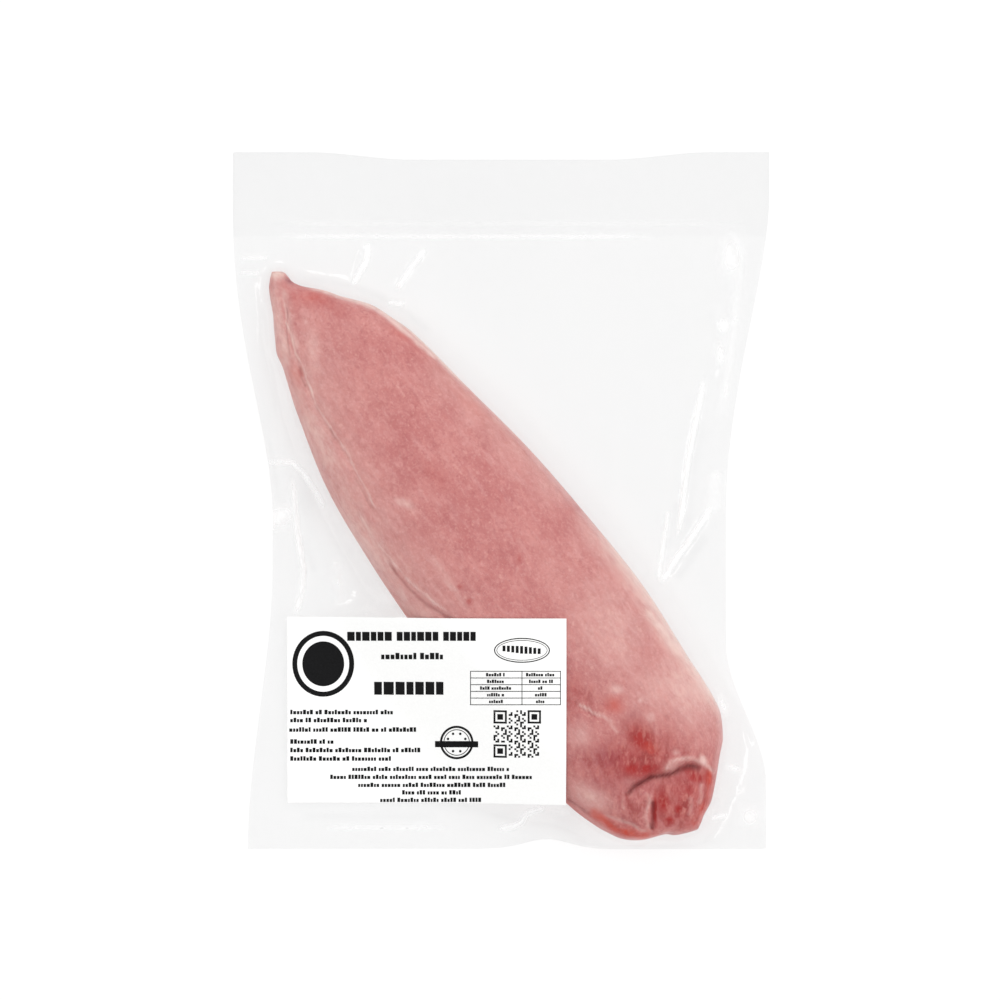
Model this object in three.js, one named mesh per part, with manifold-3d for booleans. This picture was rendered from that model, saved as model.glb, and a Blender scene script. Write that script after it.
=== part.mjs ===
// A raw pork tenderloin, shrunk tight in a clear vacuum pouch, with a paper label stuck across one corner.
// It lies flat. Millimetres, +Z up: X runs across the pouch and Y from its bottom seam to its header.
// The origin is on the surface that the pack lies on, under the middle of the pouch.
import * as THREE from 'three';
import { mergeVertices } from 'three/addons/utils/BufferGeometryUtils.js';
import Module from 'manifold-3d';

const wasm = await Module();
wasm.setup();

// The pouch is a 231 x 300 mm bag whose sides are drawn in by the vacuum.
const POUCH = {
  halfHeight: 150,
  headerDip: 3.2,
  seamNotch: 4.2,
  notchX: 18,
  film: 0.9,
  ripple: 0.9,
};
const LEFT_SIDE = { corner: 115.5, pull: 17.2, bend: 1.25, waist: [-8, -28], flare: 10.7, over: 122 };
const RIGHT_SIDE = { corner: 115.5, pull: 18.6, bend: 0.85, waist: [-5, -62], flare: 17.2, over: 60 };
const SIDES_START = 130;

// The tenderloin lies along a straight line from its thin tip to its thick cut end.
const TIP = new THREE.Vector2(-96.7, 99.1);
const END = new THREE.Vector2(71.8, -146);
const MEAT_LENGTH = 300.5;
// Distance from the tip, left edge and right edge beside the line, top height.
const STATIONS = [
  [0, -2, 1.2, 7],
  [8, -9, 4.5, 10.5],
  [19, -14.5, 11.5, 16],
  [30, -21, 22, 21.5],
  [56, -28, 33.5, 29],
  [90, -35.5, 40, 34.5],
  [125, -38.3, 46.3, 38.5],
  [160, -38.4, 50.5, 40.5],
  [200, -36.3, 54, 40.5],
  [236, -31.5, 52.5, 38.5],
  [262, -26.5, 50, 35],
  [279, -20, 39.5, 29.5],
  [292, -8, 26, 22],
  [MEAT_LENGTH, 7, 12, 13],
];
const BELT_SHARE = 0.34; // how far up its height the meat is widest
const BELT_LIMIT = 12;
const DOME_POWER = 0.86; // under 1 is fuller than an ellipse
const BASE_POWER = 0.5;
const BASE_SINK = 1.35; // over 1 presses a flat base into the underside

// The narrow side muscle along the left edge, and the groove beside it.
const STRIP = { narrow: 7.5, wide: 12.5, widensAt: 60, over: 60, share: 0.42 };
const GROOVE = { depth: 3.2, half: 2.1, swell: 1.5, fadeIn: 8, fadeOut: 285 };
// The cut end is tucked under a flap: a crease across it, then two lobes with a cleft between them.
const CREASE = { at: 270.4, slant: 0.34, bendsAt: 6, from: -9, to: 33, depth: 4.4, half: 2.5, lip: 1.7 };
const CLEFT = { from: 275, q: 4, slant: -0.45, depth: 4, half: 2.8 };
const LOBES = [[285, 16, 9, 2.2], [284, -7, 6, 1.8]]; // distance from the tip, beside the line, radius, swell

// The film leaves the meat under its widest line as a low wing that comes down to the surface.
// Heights are shares of the height of the widest line.
const WING = { under: 0.45, over: 0.9, underReach: 24, overReach: 15 };

// The label, and the ramp that its stiff paper draws the film into beside the meat.
const LABEL = { left: -92, right: 28, bottom: -131, top: -50.5, thickness: 0.4, gap: 0.45 };
const LABEL_COLUMNS = 20;
const LABEL_ROWS = 11;
const RAMP = { touch: 10, sink: 0.3, end: 13, foot: 46, soft: 3, under: 0.35, columns: 12 };
const SKIRT = { flat: 2, fall: 12 }; // beyond the label's edge the ramp comes down to the film
const RAMP_ROWS = 9;

// The meat's points: a share of each ring lies on the upper side, some of it on the side muscle.
const AROUND = 34;
const TOP_POINTS = 25;
const STRIP_POINTS = 6;
// Section numbers and their distances from the tip, evenly spaced between.
const SECTIONS = [[0, 0], [6, 16], [28, 256], [46, MEAT_LENGTH]];

// The pouch's points lie on rays from a line inside the meat out to the pouch's edge.
const HEART = [[40, 2], [258, 11]];
const EDGE_COLUMNS = 19;
const EDGE_ROWS = 25;
const INNER_RING = 6; // inside the meat's outline
const RINGS = 8; // outside it
const FIRST_RING = 10; // a smaller number crowds the rings at the meat

const clamp01 = (x) => Math.min(1, Math.max(0, x));
const smooth = (x) => clamp01(x) ** 2 * (3 - 2 * clamp01(x));
const bell = (x) => Math.exp(-x * x);
const signedPower = (x, p) => Math.sign(x) * Math.abs(x) ** p;

// Column `column` of STATIONS at distance t, as a smooth curve through the stations.
function station(t, column) {
  const last = STATIONS.length - 1;
  let i = 0;
  while (i < last - 1 && STATIONS[i + 1][0] < t) i += 1;
  const slope = (k) => {
    const a = STATIONS[Math.max(k - 1, 0)];
    const b = STATIONS[Math.min(k + 1, last)];
    return (b[column] - a[column]) / (b[0] - a[0]);
  };
  const [p, q] = [STATIONS[i], STATIONS[i + 1]];
  const span = q[0] - p[0];
  const s = clamp01((t - p[0]) / span);
  return (
    p[column] * (1 + 2 * s) * (1 - s) ** 2 +
    slope(i) * span * s * (1 - s) ** 2 +
    q[column] * s * s * (3 - 2 * s) +
    slope(i + 1) * span * s * s * (s - 1)
  );
}

const leftOf = (t) => station(t, 1);
const rightOf = (t) => station(t, 2);
const heightOf = (t) => station(t, 3);
const beltOf = (t) => Math.min(BELT_LIMIT, BELT_SHARE * heightOf(t));

const AXIS = END.clone().sub(TIP).normalize();
const ACROSS = new THREE.Vector2(-AXIS.y, AXIS.x); // to the right of the line, seen with the header up

const toPlan = (t, q) => TIP.clone().addScaledVector(AXIS, t).addScaledVector(ACROSS, q);
const alongMeat = (x, y) => new THREE.Vector2(x, y).sub(TIP).dot(AXIS);
const besideMeat = (x, y) => new THREE.Vector2(x, y).sub(TIP).dot(ACROSS);

// The line of the groove beside the side muscle.
function grooveOf(t) {
  const width = STRIP.narrow + (STRIP.wide - STRIP.narrow) * smooth((t - STRIP.widensAt) / STRIP.over);
  return leftOf(t) + Math.min(width, STRIP.share * (rightOf(t) - leftOf(t)));
}

// How far the meat's skin stands out from its plain dome at (t, q): grooves are negative.
function relief(t, q) {
  const fade = smooth((t - GROOVE.fadeIn) / 14) * smooth((GROOVE.fadeOut - t) / 16);
  const fromGroove = q - grooveOf(t);
  const width = grooveOf(t) - leftOf(t);
  const groove = -GROOVE.depth * bell(fromGroove / GROOVE.half);
  const swell = GROOVE.swell * bell((fromGroove + width * 0.55) / (width * 0.45));

  const middle = (CREASE.from + CREASE.to) / 2;
  const halfSpan = (CREASE.to - CREASE.from) / 2;
  const acrossFade = smooth((halfSpan + 4 - Math.abs(q - middle)) / 8);
  const fromCrease = t - (CREASE.at + CREASE.slant * Math.max(0, q - CREASE.bendsAt));
  const crease = -CREASE.depth * bell(fromCrease / CREASE.half);
  const lip = CREASE.lip * bell((fromCrease + CREASE.half * 2.2) / (CREASE.half * 1.3));

  const fromCleft = q - (CLEFT.q + CLEFT.slant * (t - CLEFT.from));
  const cleft = -CLEFT.depth * bell(fromCleft / CLEFT.half) * smooth((t - CLEFT.from + 4) / 8);
  const lobes = LOBES.reduce((sum, [at, beside, radius, high]) => {
    return sum + high * bell(Math.hypot(t - at, q - beside) / radius);
  }, 0);
  return fade * (groove + swell) + acrossFade * (crease + lip) + cleft + lobes;
}

// The height of the plain dome at (t, q), and 0 outside it.
function dome(t, q) {
  if (t <= 0 || t >= MEAT_LENGTH) return 0;
  const half = (rightOf(t) - leftOf(t)) / 2;
  const side = Math.abs(q - (rightOf(t) + leftOf(t)) / 2) / half;
  if (side >= 1) return 0;
  const belt = beltOf(t);
  const angle = Math.acos(side ** (1 / DOME_POWER));
  return belt + (heightOf(t) - belt) * Math.sin(angle) ** DOME_POWER;
}

// 1 inside the label's rectangle, falling to 0 a little way outside it.
function underLabel(x, y) {
  const beyond = Math.max(LABEL.left - x, x - LABEL.right, LABEL.bottom - y, y - LABEL.top);
  return smooth(1 - (beyond - SKIRT.flat) / SKIRT.fall);
}

// Point j of the meat's ring at distance t, counted over the top from the right edge to the left.
// What stands out of the dome is pressed flat under the label.
function ringPoint(t, j) {
  const [left, right, height, belt] = [leftOf(t), rightOf(t), heightOf(t), beltOf(t)];
  const middle = (left + right) / 2;
  const half = (right - left) / 2;
  if (j > TOP_POINTS) {
    const a = (Math.PI * (j - TOP_POINTS)) / (AROUND - TOP_POINTS);
    const q = middle - half * signedPower(Math.cos(a), DOME_POWER);
    return { q, z: Math.max(0, belt * (1 - BASE_SINK * Math.sin(a) ** BASE_POWER)) };
  }
  const atGroove = Math.acos(signedPower((grooveOf(t) - middle) / half, 1 / DOME_POWER));
  const main = TOP_POINTS - STRIP_POINTS;
  const onMain = (atGroove * j) / main;
  const a = j <= main ? onMain : atGroove + ((Math.PI - atGroove) * (j - main)) / STRIP_POINTS;
  const q = middle + half * signedPower(Math.cos(a), DOME_POWER);
  const z = belt + (height - belt) * Math.sin(a) ** DOME_POWER;
  const normal = new THREE.Vector2(Math.cos(a) / half, Math.sin(a) / (height - belt)).normalize();
  const plan = toPlan(t, q);
  const free = relief(t, q) * Math.sin(a) ** 0.4;
  const out = THREE.MathUtils.lerp(free, Math.min(free, 0), underLabel(plan.x, plan.y));
  return { q: q + normal.x * out, z: z + normal.y * out };
}

// The two side edges, header edge and bottom seam edge of the pouch.
function sideEdge(side, y) {
  const [high, low] = side.waist;
  const drawn = smooth(clamp01((SIDES_START - y) / (SIDES_START - high)) ** side.bend);
  const flared = smooth((low - y) / side.over);
  return side.corner - side.pull * drawn + side.flare * flared;
}
const headerEdge = (x) => POUCH.halfHeight - POUCH.headerDip * (1 - smooth((Math.abs(x - 4) - 42) / 45));
const seamEdge = (x) => -POUCH.halfHeight + POUCH.seamNotch * bell((x - POUCH.notchX) / 14);

// Point i of the pouch's edge, counted from the lower left corner, to the right first.
function edgePoint(i) {
  const corner = (side) => sideEdge(side, -POUCH.halfHeight);
  const top = (side) => sideEdge(side, POUCH.halfHeight);
  const turn = EDGE_COLUMNS + EDGE_ROWS;
  const lerp = THREE.MathUtils.lerp;
  if (i < EDGE_COLUMNS) {
    const x = lerp(-corner(LEFT_SIDE), corner(RIGHT_SIDE), i / EDGE_COLUMNS);
    return new THREE.Vector2(x, seamEdge(x));
  }
  if (i < turn) {
    const y = lerp(seamEdge(corner(RIGHT_SIDE)), headerEdge(top(RIGHT_SIDE)), (i - EDGE_COLUMNS) / EDGE_ROWS);
    return new THREE.Vector2(sideEdge(RIGHT_SIDE, y), y);
  }
  if (i < turn + EDGE_COLUMNS) {
    const x = lerp(top(RIGHT_SIDE), -top(LEFT_SIDE), (i - turn) / EDGE_COLUMNS);
    return new THREE.Vector2(x, headerEdge(x));
  }
  const down = (i - turn - EDGE_COLUMNS) / EDGE_ROWS;
  const y = lerp(headerEdge(-top(LEFT_SIDE)), seamEdge(-corner(LEFT_SIDE)), down);
  return new THREE.Vector2(-sideEdge(LEFT_SIDE, y), y);
}

function insideMeat(p) {
  const [t, q] = [alongMeat(p.x, p.y), besideMeat(p.x, p.y)];
  return t > 0 && t < MEAT_LENGTH && q > leftOf(t) && q < rightOf(t);
}

// The ray to an edge point: where it starts, its direction, where it leaves the meat, and its length.
function rayTo(edge) {
  const [a, b] = HEART.map(([t, q]) => toPlan(t, q));
  const along = b.clone().sub(a);
  const share = clamp01(edge.clone().sub(a).dot(along) / along.lengthSq());
  const start = a.addScaledVector(along, share);
  const length = edge.distanceTo(start);
  const direction = edge.clone().sub(start).normalize();
  let [inside, outside] = [0, length];
  for (let i = 0; i < 30; i += 1) {
    const middle = (inside + outside) / 2;
    if (insideMeat(start.clone().addScaledVector(direction, middle))) inside = middle;
    else outside = middle;
  }
  return { start, direction, leaves: inside, length };
}

// How far outside the meat ring k lies on a ray that is `room` long outside it.
function ringDistance(k, room) {
  const growth = Math.log(1 + room / FIRST_RING);
  return (room * Math.expm1((growth * k) / RINGS)) / Math.expm1(growth);
}

const clampToMeat = (t) => Math.min(MEAT_LENGTH, Math.max(0, t));
const beltNear = (t) => beltOf(clampToMeat(t));

// The pouch's underside beyond the meat, which ripples a little and lifts towards the meat.
function undersideAt(x, y, t, outside) {
  const ripple = POUCH.ripple * (1 + Math.sin(x / 27 + y / 61) * Math.cos(y / 34 - x / 83));
  const lift = smooth(1 - outside / WING.underReach);
  return ripple * (1 - lift) + WING.under * beltNear(t) * lift;
}

function upperSideAt(x, y, t, outside) {
  const rise = Math.max(0, (WING.over - WING.under) * beltNear(t) - POUCH.film);
  const wing = rise * smooth(1 - outside / WING.overReach) ** 1.5;
  return undersideAt(x, y, t, outside) + POUCH.film + wing;
}

// A sphere whose rings are moved onto the pouch's upper side from the meat out, and back underneath.
function pouchGeometry() {
  const count = 2 * (EDGE_COLUMNS + EDGE_ROWS);
  const rays = Array.from({ length: count }, (_, i) => rayTo(edgePoint(i)));
  const side = [null, -INNER_RING];
  for (let k = 0; k <= RINGS; k += 1) side.push(k);
  const rows = [...side, ...side.slice().reverse()];
  const geometry = new THREE.SphereGeometry(1, count, rows.length - 1);
  const position = geometry.getAttribute('position');
  const uv = geometry.getAttribute('uv');
  const middle = toPlan((HEART[0][0] + HEART[1][0]) / 2, (HEART[0][1] + HEART[1][1]) / 2);
  for (let i = 0; i < position.count; i += 1) {
    const row = Math.round((1 - uv.getY(i)) * (rows.length - 1));
    const onTop = row < side.length;
    const stop = rows[row];
    if (stop === null) {
      position.setXYZ(i, middle.x, middle.y, BELT_LIMIT * (onTop ? WING.over : WING.under));
      continue;
    }
    const ray = rays[Math.round(uv.getX(i) * count) % count];
    const outside = stop < 0 ? stop : ringDistance(stop, ray.length - ray.leaves);
    const { x, y } = ray.start.clone().addScaledVector(ray.direction, ray.leaves + outside);
    const t = alongMeat(x, y);
    position.setXYZ(i, x, y, onTop ? upperSideAt(x, y, t, outside) : undersideAt(x, y, t, outside));
  }
  return geometry;
}

// The bed under the label leaves the dome at a tangent and runs out onto the film beside the meat.
function labelBed(t, depth, film) {
  const left = leftOf(t);
  if (depth >= RAMP.touch) return dome(t, left + depth);
  const slope = (dome(t, left + RAMP.touch + 1) - dome(t, left + RAMP.touch - 1)) / 2;
  const line = dome(t, left + RAMP.touch) + slope * (depth - RAMP.touch);
  return film + RAMP.soft * Math.log1p(Math.exp((line - film) / RAMP.soft));
}

// Where the row at height y meets the line that lies `depth` inside the meat's left edge.
function rowMeets(y, depth) {
  let [low, high] = [-LEFT_SIDE.corner, RIGHT_SIDE.corner];
  for (let i = 0; i < 30; i += 1) {
    const x = (low + high) / 2;
    if (besideMeat(x, y) - leftOf(clampToMeat(alongMeat(x, y))) < depth) low = x;
    else high = x;
  }
  return low;
}

// A box moved onto the ramp, with two more rows at each end that come down to the film.
function rampGeometry() {
  const geometry = new THREE.BoxGeometry(1, 1, 1, RAMP.columns, RAMP_ROWS + 4, 1);
  const position = geometry.getAttribute('position');
  const low = LABEL.bottom - SKIRT.flat;
  const high = LABEL.top + SKIRT.flat;
  for (let i = 0; i < position.count; i += 1) {
    const column = Math.round((position.getX(i) + 0.5) * RAMP.columns);
    const row = Math.round((position.getY(i) + 0.5) * (RAMP_ROWS + 4)) - 2;
    const beyond = Math.max(-row, row - RAMP_ROWS, 0) * (SKIRT.fall / 2);
    const inside = THREE.MathUtils.clamp(row, 0, RAMP_ROWS);
    const y = THREE.MathUtils.lerp(low, high, inside / RAMP_ROWS) + beyond * Math.sign(row);
    const start = Math.max(rowMeets(y, -RAMP.foot), 1 - sideEdge(LEFT_SIDE, y));
    const end = Math.min(rowMeets(y, RAMP.end), LABEL.right + SKIRT.flat + SKIRT.fall);
    const x = THREE.MathUtils.lerp(start, end, column / RAMP.columns);
    const t = clampToMeat(alongMeat(x, y));
    const depth = besideMeat(x, y) - leftOf(t);
    const outside = Math.max(0, -depth);
    const upper = upperSideAt(x, y, t, outside);
    const buried = (undersideAt(x, y, t, outside) + upper) / 2;
    const sunk = RAMP.under + RAMP.sink * Math.max(0, depth - RAMP.touch);
    const top = THREE.MathUtils.lerp(buried, labelBed(t, depth, upper) - sunk, underLabel(x, y));
    position.setXYZ(i, x, y, position.getZ(i) > 0 ? Math.max(buried, top) : buried - 0.15);
  }
  return geometry;
}

// A thin box moved onto the bed, a hair above it.
function labelGeometry() {
  const geometry = new THREE.BoxGeometry(1, 1, 1, LABEL_COLUMNS, LABEL_ROWS, 1);
  const position = geometry.getAttribute('position');
  for (let i = 0; i < position.count; i += 1) {
    const x = THREE.MathUtils.lerp(LABEL.left, LABEL.right, position.getX(i) + 0.5);
    const y = THREE.MathUtils.lerp(LABEL.bottom, LABEL.top, position.getY(i) + 0.5);
    const t = clampToMeat(alongMeat(x, y));
    const depth = besideMeat(x, y) - leftOf(t);
    const under = labelBed(t, depth, upperSideAt(x, y, t, Math.max(0, -depth))) + LABEL.gap;
    position.setXYZ(i, x, y, position.getZ(i) > 0 ? under + LABEL.thickness : under);
  }
  return geometry;
}

// The distance from the tip of section number `row`.
function sectionAt(row) {
  const next = SECTIONS.findIndex(([number]) => number >= row) || 1;
  const [[r0, t0], [r1, t1]] = [SECTIONS[next - 1], SECTIONS[next]];
  return t0 + ((t1 - t0) * (row - r0)) / (r1 - r0);
}

// A sphere whose rings are moved onto the meat's sections.
function meatGeometry() {
  const last = SECTIONS[SECTIONS.length - 1][0];
  const geometry = new THREE.SphereGeometry(1, AROUND, last);
  const position = geometry.getAttribute('position');
  const uv = geometry.getAttribute('uv');
  for (let i = 0; i < position.count; i += 1) {
    const row = Math.round((1 - uv.getY(i)) * last);
    const t = sectionAt(row);
    const pole = row === 0 || row === last;
    const { q, z } = ringPoint(t, Math.round(uv.getX(i) * AROUND) % AROUND);
    const plan = toPlan(t, pole ? (leftOf(t) + rightOf(t)) / 2 : q);
    position.setXYZ(i, plan.x, plan.y, pole ? heightOf(t) / 2 : z);
  }
  return geometry;
}

// A closed solid from a three.js geometry, turned the right way out.
function solidFrom(geometry) {
  geometry.deleteAttribute('normal');
  geometry.deleteAttribute('uv');
  const merged = mergeVertices(geometry, 1e-3);
  const triVerts = new Uint32Array(merged.index.array);
  const vertProperties = merged.attributes.position.array;
  const made = new wasm.Manifold(new wasm.Mesh({ numProp: 3, vertProperties, triVerts }));
  if (made.volume() > 0) return made;
  for (let i = 0; i < triVerts.length; i += 3) {
    [triVerts[i + 1], triVerts[i + 2]] = [triVerts[i + 2], triVerts[i + 1]];
  }
  return new wasm.Manifold(new wasm.Mesh({ numProp: 3, vertProperties, triVerts }));
}

function meshFrom(solid, name, material) {
  const { vertProperties, triVerts, numProp, numVert } = solid.getMesh();
  const position = new Float32Array(numVert * 3);
  for (let i = 0; i < numVert; i += 1) {
    position.set(vertProperties.subarray(i * numProp, i * numProp + 3), i * 3);
  }
  const geometry = new THREE.BufferGeometry();
  geometry.setAttribute('position', new THREE.BufferAttribute(position, 3));
  geometry.setIndex(new THREE.BufferAttribute(triVerts, 1));
  geometry.computeVertexNormals();
  const mesh = new THREE.Mesh(geometry, material);
  mesh.name = name;
  return mesh;
}

const packedMeat = new THREE.MeshStandardMaterial({ color: '#d3948c', roughness: 0.35, metalness: 0 });
const paper = new THREE.MeshStandardMaterial({ color: '#f7f7f5', roughness: 0.55, metalness: 0 });

const pack = solidFrom(meatGeometry()).add(solidFrom(pouchGeometry())).add(solidFrom(rampGeometry()));
const group = new THREE.Group();
group.add(meshFrom(pack, 'tenderloin_in_pouch', packedMeat));
group.add(meshFrom(solidFrom(labelGeometry()), 'label', paper));

export default group;
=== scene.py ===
# %% [markdown]
# # A raw pork tenderloin in its vacuum pouch
# A butcher lays the whole muscle in a clear bag, draws the air out and welds the mouth shut. Four things
# are seen: the meat, the film shrunk round it, a paper label, and the ink on the label. Each of them is
# one mesh here. The solids of the part are loaded first and never moved; the finer meshes are laid
# exactly over them.

# %% Load the frame
import math

import bmesh
import bpy
import numpy as np
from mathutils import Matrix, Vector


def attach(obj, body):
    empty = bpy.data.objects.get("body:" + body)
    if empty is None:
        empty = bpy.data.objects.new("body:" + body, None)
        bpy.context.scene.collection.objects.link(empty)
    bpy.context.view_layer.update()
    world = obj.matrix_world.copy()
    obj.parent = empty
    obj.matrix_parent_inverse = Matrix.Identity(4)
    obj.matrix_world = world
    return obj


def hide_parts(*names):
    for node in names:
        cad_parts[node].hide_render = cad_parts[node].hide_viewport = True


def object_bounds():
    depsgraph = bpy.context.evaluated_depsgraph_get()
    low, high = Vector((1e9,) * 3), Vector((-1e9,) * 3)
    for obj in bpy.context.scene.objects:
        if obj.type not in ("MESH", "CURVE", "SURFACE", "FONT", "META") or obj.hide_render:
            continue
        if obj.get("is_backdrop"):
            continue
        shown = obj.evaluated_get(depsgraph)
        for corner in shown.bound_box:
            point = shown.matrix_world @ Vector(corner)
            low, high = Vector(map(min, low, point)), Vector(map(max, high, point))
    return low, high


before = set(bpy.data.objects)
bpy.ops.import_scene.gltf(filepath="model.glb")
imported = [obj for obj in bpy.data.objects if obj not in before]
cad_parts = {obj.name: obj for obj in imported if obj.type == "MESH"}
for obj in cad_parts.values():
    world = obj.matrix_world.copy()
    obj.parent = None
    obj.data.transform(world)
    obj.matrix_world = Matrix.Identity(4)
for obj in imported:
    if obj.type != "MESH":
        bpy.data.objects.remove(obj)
cad_low, cad_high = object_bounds()
print("box of the solids, metres:", *([round(v, 4) for v in corner] for corner in (cad_low, cad_high)))

# %% [markdown]
# ## Measures and small tools
# Everything is measured in millimetres until a mesh is made, because butchers and bag makers do the same.
# The pack was seen from straight above at 0.43 mm to the picture point, so `spot` turns a place in that
# view into millimetres on the pack. A few smooth step and bell curves shape everything that follows.

# %% Units and curves
METRE = 0.001                 # one millimetre in metres
POINT = 0.43                  # millimetres to a picture point
VIEW_MIDDLE = (501.0, 500.5)  # the picture point over the origin
CAMERA_ABOVE = 2500.0         # the camera is this far above the table, in millimetres


def spot(places):
    """Picture points as millimetres on the pack, x to the right and y towards the header."""
    places = np.asarray(places, float).reshape(-1, 2)
    return np.stack([(places[:, 0] - VIEW_MIDDLE[0]) * POINT, (VIEW_MIDDLE[1] - places[:, 1]) * POINT], 1)


def seen(x, y, z):
    """Where a place z above the table shows on it from the camera: a little further out."""
    grow = 1 / (1 - z / CAMERA_ABOVE)
    return x * grow, y * grow


def clamp01(x):
    return np.clip(x, 0.0, 1.0)


def smooth(x):
    s = clamp01(x)
    return s * s * (3 - 2 * s)


def bell(x):
    return np.exp(-np.square(x))


def lerp(a, b, s):
    return a + (b - a) * s


def signed_power(x, p):
    return np.sign(x) * np.abs(x) ** p


# %% Seeded value noise, for lumps and ripples
NOISE_SIZE = 256


def noise(u, v, seed):
    """Smooth noise from -1 to 1, one lump to a unit of u and v."""
    table = np.random.default_rng(seed).uniform(-1, 1, (NOISE_SIZE, NOISE_SIZE))
    iu, iv = np.floor(u).astype(int), np.floor(v).astype(int)
    su, sv = smooth(u - iu), smooth(v - iv)
    at = lambda a, b: table[(iu + a) % NOISE_SIZE, (iv + b) % NOISE_SIZE]
    return lerp(lerp(at(0, 0), at(1, 0), su), lerp(at(0, 1), at(1, 1), su), sv)


def ripples(size, x, y):
    """Noise of one size: the height, length and width of a lump in millimetres, and the seed."""
    high, long, wide, seed = size
    return high * noise(x / long, y / wide, seed)


print("noise sample", np.round(noise(np.array([0.5, 7.2]), np.array([0.5, 3.1]), 1), 3))


# %% Distance from a path
def near(path, x, y):
    """Distance to a path of picture points, and the share of the path passed, 0 to 1."""
    path = spot(path)
    lengths = np.hypot(*np.diff(path, axis=0).T)
    ends = np.concatenate([[0], np.cumsum(lengths)])
    best, share = np.full(x.shape, 1e9), np.zeros(x.shape)
    for k, (a, b) in enumerate(zip(path[:-1], path[1:])):
        run = (b - a) / lengths[k]
        along = np.clip((x - a[0]) * run[0] + (y - a[1]) * run[1], 0, lengths[k])
        off_x, off_y = x - a[0] - run[0] * along, y - a[1] - run[1] * along
        away = np.hypot(off_x, off_y)
        closer = away < best
        best = np.where(closer, away, best)
        share = np.where(closer, (ends[k] + along) / ends[-1], share)
    return best, share


END_SHARE = 0.15  # how far a stroke has begun at the very end of its path


def stroke(path, half, x, y, taper=0.12):
    """1 on the path, falling off over `half` beside it and over a share of its length at its ends."""
    away, share = near(path, x, y)
    return bell(away / half) * smooth(np.minimum(share, 1 - share) / taper + END_SHARE)


def patch(centre, radii, x, y, turn=0.0):
    """1 on a picture point, falling off over an oval's radii in millimetres; turned by `turn` degrees."""
    c, s = math.cos(math.radians(turn)), math.sin(math.radians(turn))
    middle = spot(centre)[0]
    u, v = x - middle[0], y - middle[1]
    return bell(np.hypot((u * c + v * s) / radii[0], (v * c - u * s) / radii[1]))


# %% [markdown]
# ## The bag's outline
# The bag is 231 mm wide and 300 mm tall before it is emptied. The vacuum draws its sides in to a waist,
# more on the right, and they flare out again at the bottom seam. The header stays nearly straight. These
# are the same curves as the solid's, so film and solid end on one line.

# %% Edges of the bag
BAG = dict(half_height=150.0, header_dip=3.2, seam_notch=4.2, notch_x=18.0, film=0.9, ripple=0.9)
LEFT_SIDE = dict(corner=115.5, pull=17.2, bend=1.25, waist=(-8, -28), flare=10.7, over=122)
RIGHT_SIDE = dict(corner=115.5, pull=18.6, bend=0.85, waist=(-5, -62), flare=17.2, over=60)
SIDES_START = 130.0


def side_edge(side, y):
    high, low = side["waist"]
    drawn = smooth(clamp01((SIDES_START - y) / (SIDES_START - high)) ** side["bend"])
    return side["corner"] - side["pull"] * drawn + side["flare"] * smooth((low - y) / side["over"])


def header_edge(x):
    return BAG["half_height"] - BAG["header_dip"] * (1 - smooth((np.abs(x - 4) - 42) / 45))


def seam_edge(x):
    return -BAG["half_height"] + BAG["seam_notch"] * bell((x - BAG["notch_x"]) / 14)


waists = [round(float(side_edge(side, side["waist"][0])), 1) for side in (LEFT_SIDE, RIGHT_SIDE)]
print("half widths at the waist, mm:", *waists)

# %% [markdown]
# ## The muscle's sections
# A tenderloin is a long tapering muscle. It is described as a lofter describes a hull: stations along a
# straight line from the thin tip to the thick end, each with a left edge, a right edge and a height. A
# cubic runs smoothly through the stations. The section is a full dome above the widest line and a
# pressed, flat base below it.

# %% Stations
TIP = np.array([-96.7, 99.1])
END = np.array([71.8, -146.0])
AXIS = (END - TIP) / np.hypot(*(END - TIP))
ACROSS = np.array([-AXIS[1], AXIS[0]])
STATIONS = np.array([  # distance from the tip, left edge, right edge, height
    [0, -2.45, -1.2, 6.5], [1.4, -4.1, 1, 7.4], [2.8, -5.4, 2.2, 8.2], [4.4, -6.75, 2.6, 9],
    [8, -8.7, 2.9, 10.5], [12, -10.5, 5.2, 12.4], [16, -12.4, 9.2, 14.7], [20, -14.8, 12.9, 16.8],
    [25, -17.5, 16.4, 19.3], [30, -20.1, 20.8, 21.5], [36, -21.2, 25.5, 23.6], [44, -23.7, 29, 26.2],
    [56, -27.3, 33.3, 29], [90, -35, 39.6, 34.5], [125, -37.6, 46, 38.5], [160, -38, 50, 40.5],
    [200, -36.3, 53, 40.5], [236, -31.5, 51.7, 38.5], [262, -26.2, 50.2, 35], [274, -22.2, 44.4, 31],
    [280, -19.3, 38.6, 29], [286, -15.4, 33, 26], [291, -8.6, 28, 22.6], [294.3, 0.2, 24.2, 19.8],
    [297, 3.4, 19, 17.2], [299, 7.8, 16.2, 14.6], [300.2, 11.6, 14.2, 12]])
MEAT_LENGTH = STATIONS[-1, 0]
BELT_SHARE, BELT_LIMIT = 0.34, 12.0  # how far up its height the meat is widest
DOME_POWER, BASE_POWER, BASE_SINK = 0.86, 0.5, 1.35


def station(t, column):
    at, value = STATIONS[:, 0], STATIONS[:, column]
    slope = np.gradient(value, at)
    slope[1:-1] = (value[2:] - value[:-2]) / (at[2:] - at[:-2])
    t = np.clip(t, at[0], at[-1])
    i = np.clip(np.searchsorted(at, t) - 1, 0, len(at) - 2)
    span = at[i + 1] - at[i]
    s = (t - at[i]) / span
    return (value[i] * (1 + 2 * s) * (1 - s) ** 2 + slope[i] * span * s * (1 - s) ** 2
            + value[i + 1] * s * s * (3 - 2 * s) + slope[i + 1] * span * s * s * (s - 1))


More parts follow.
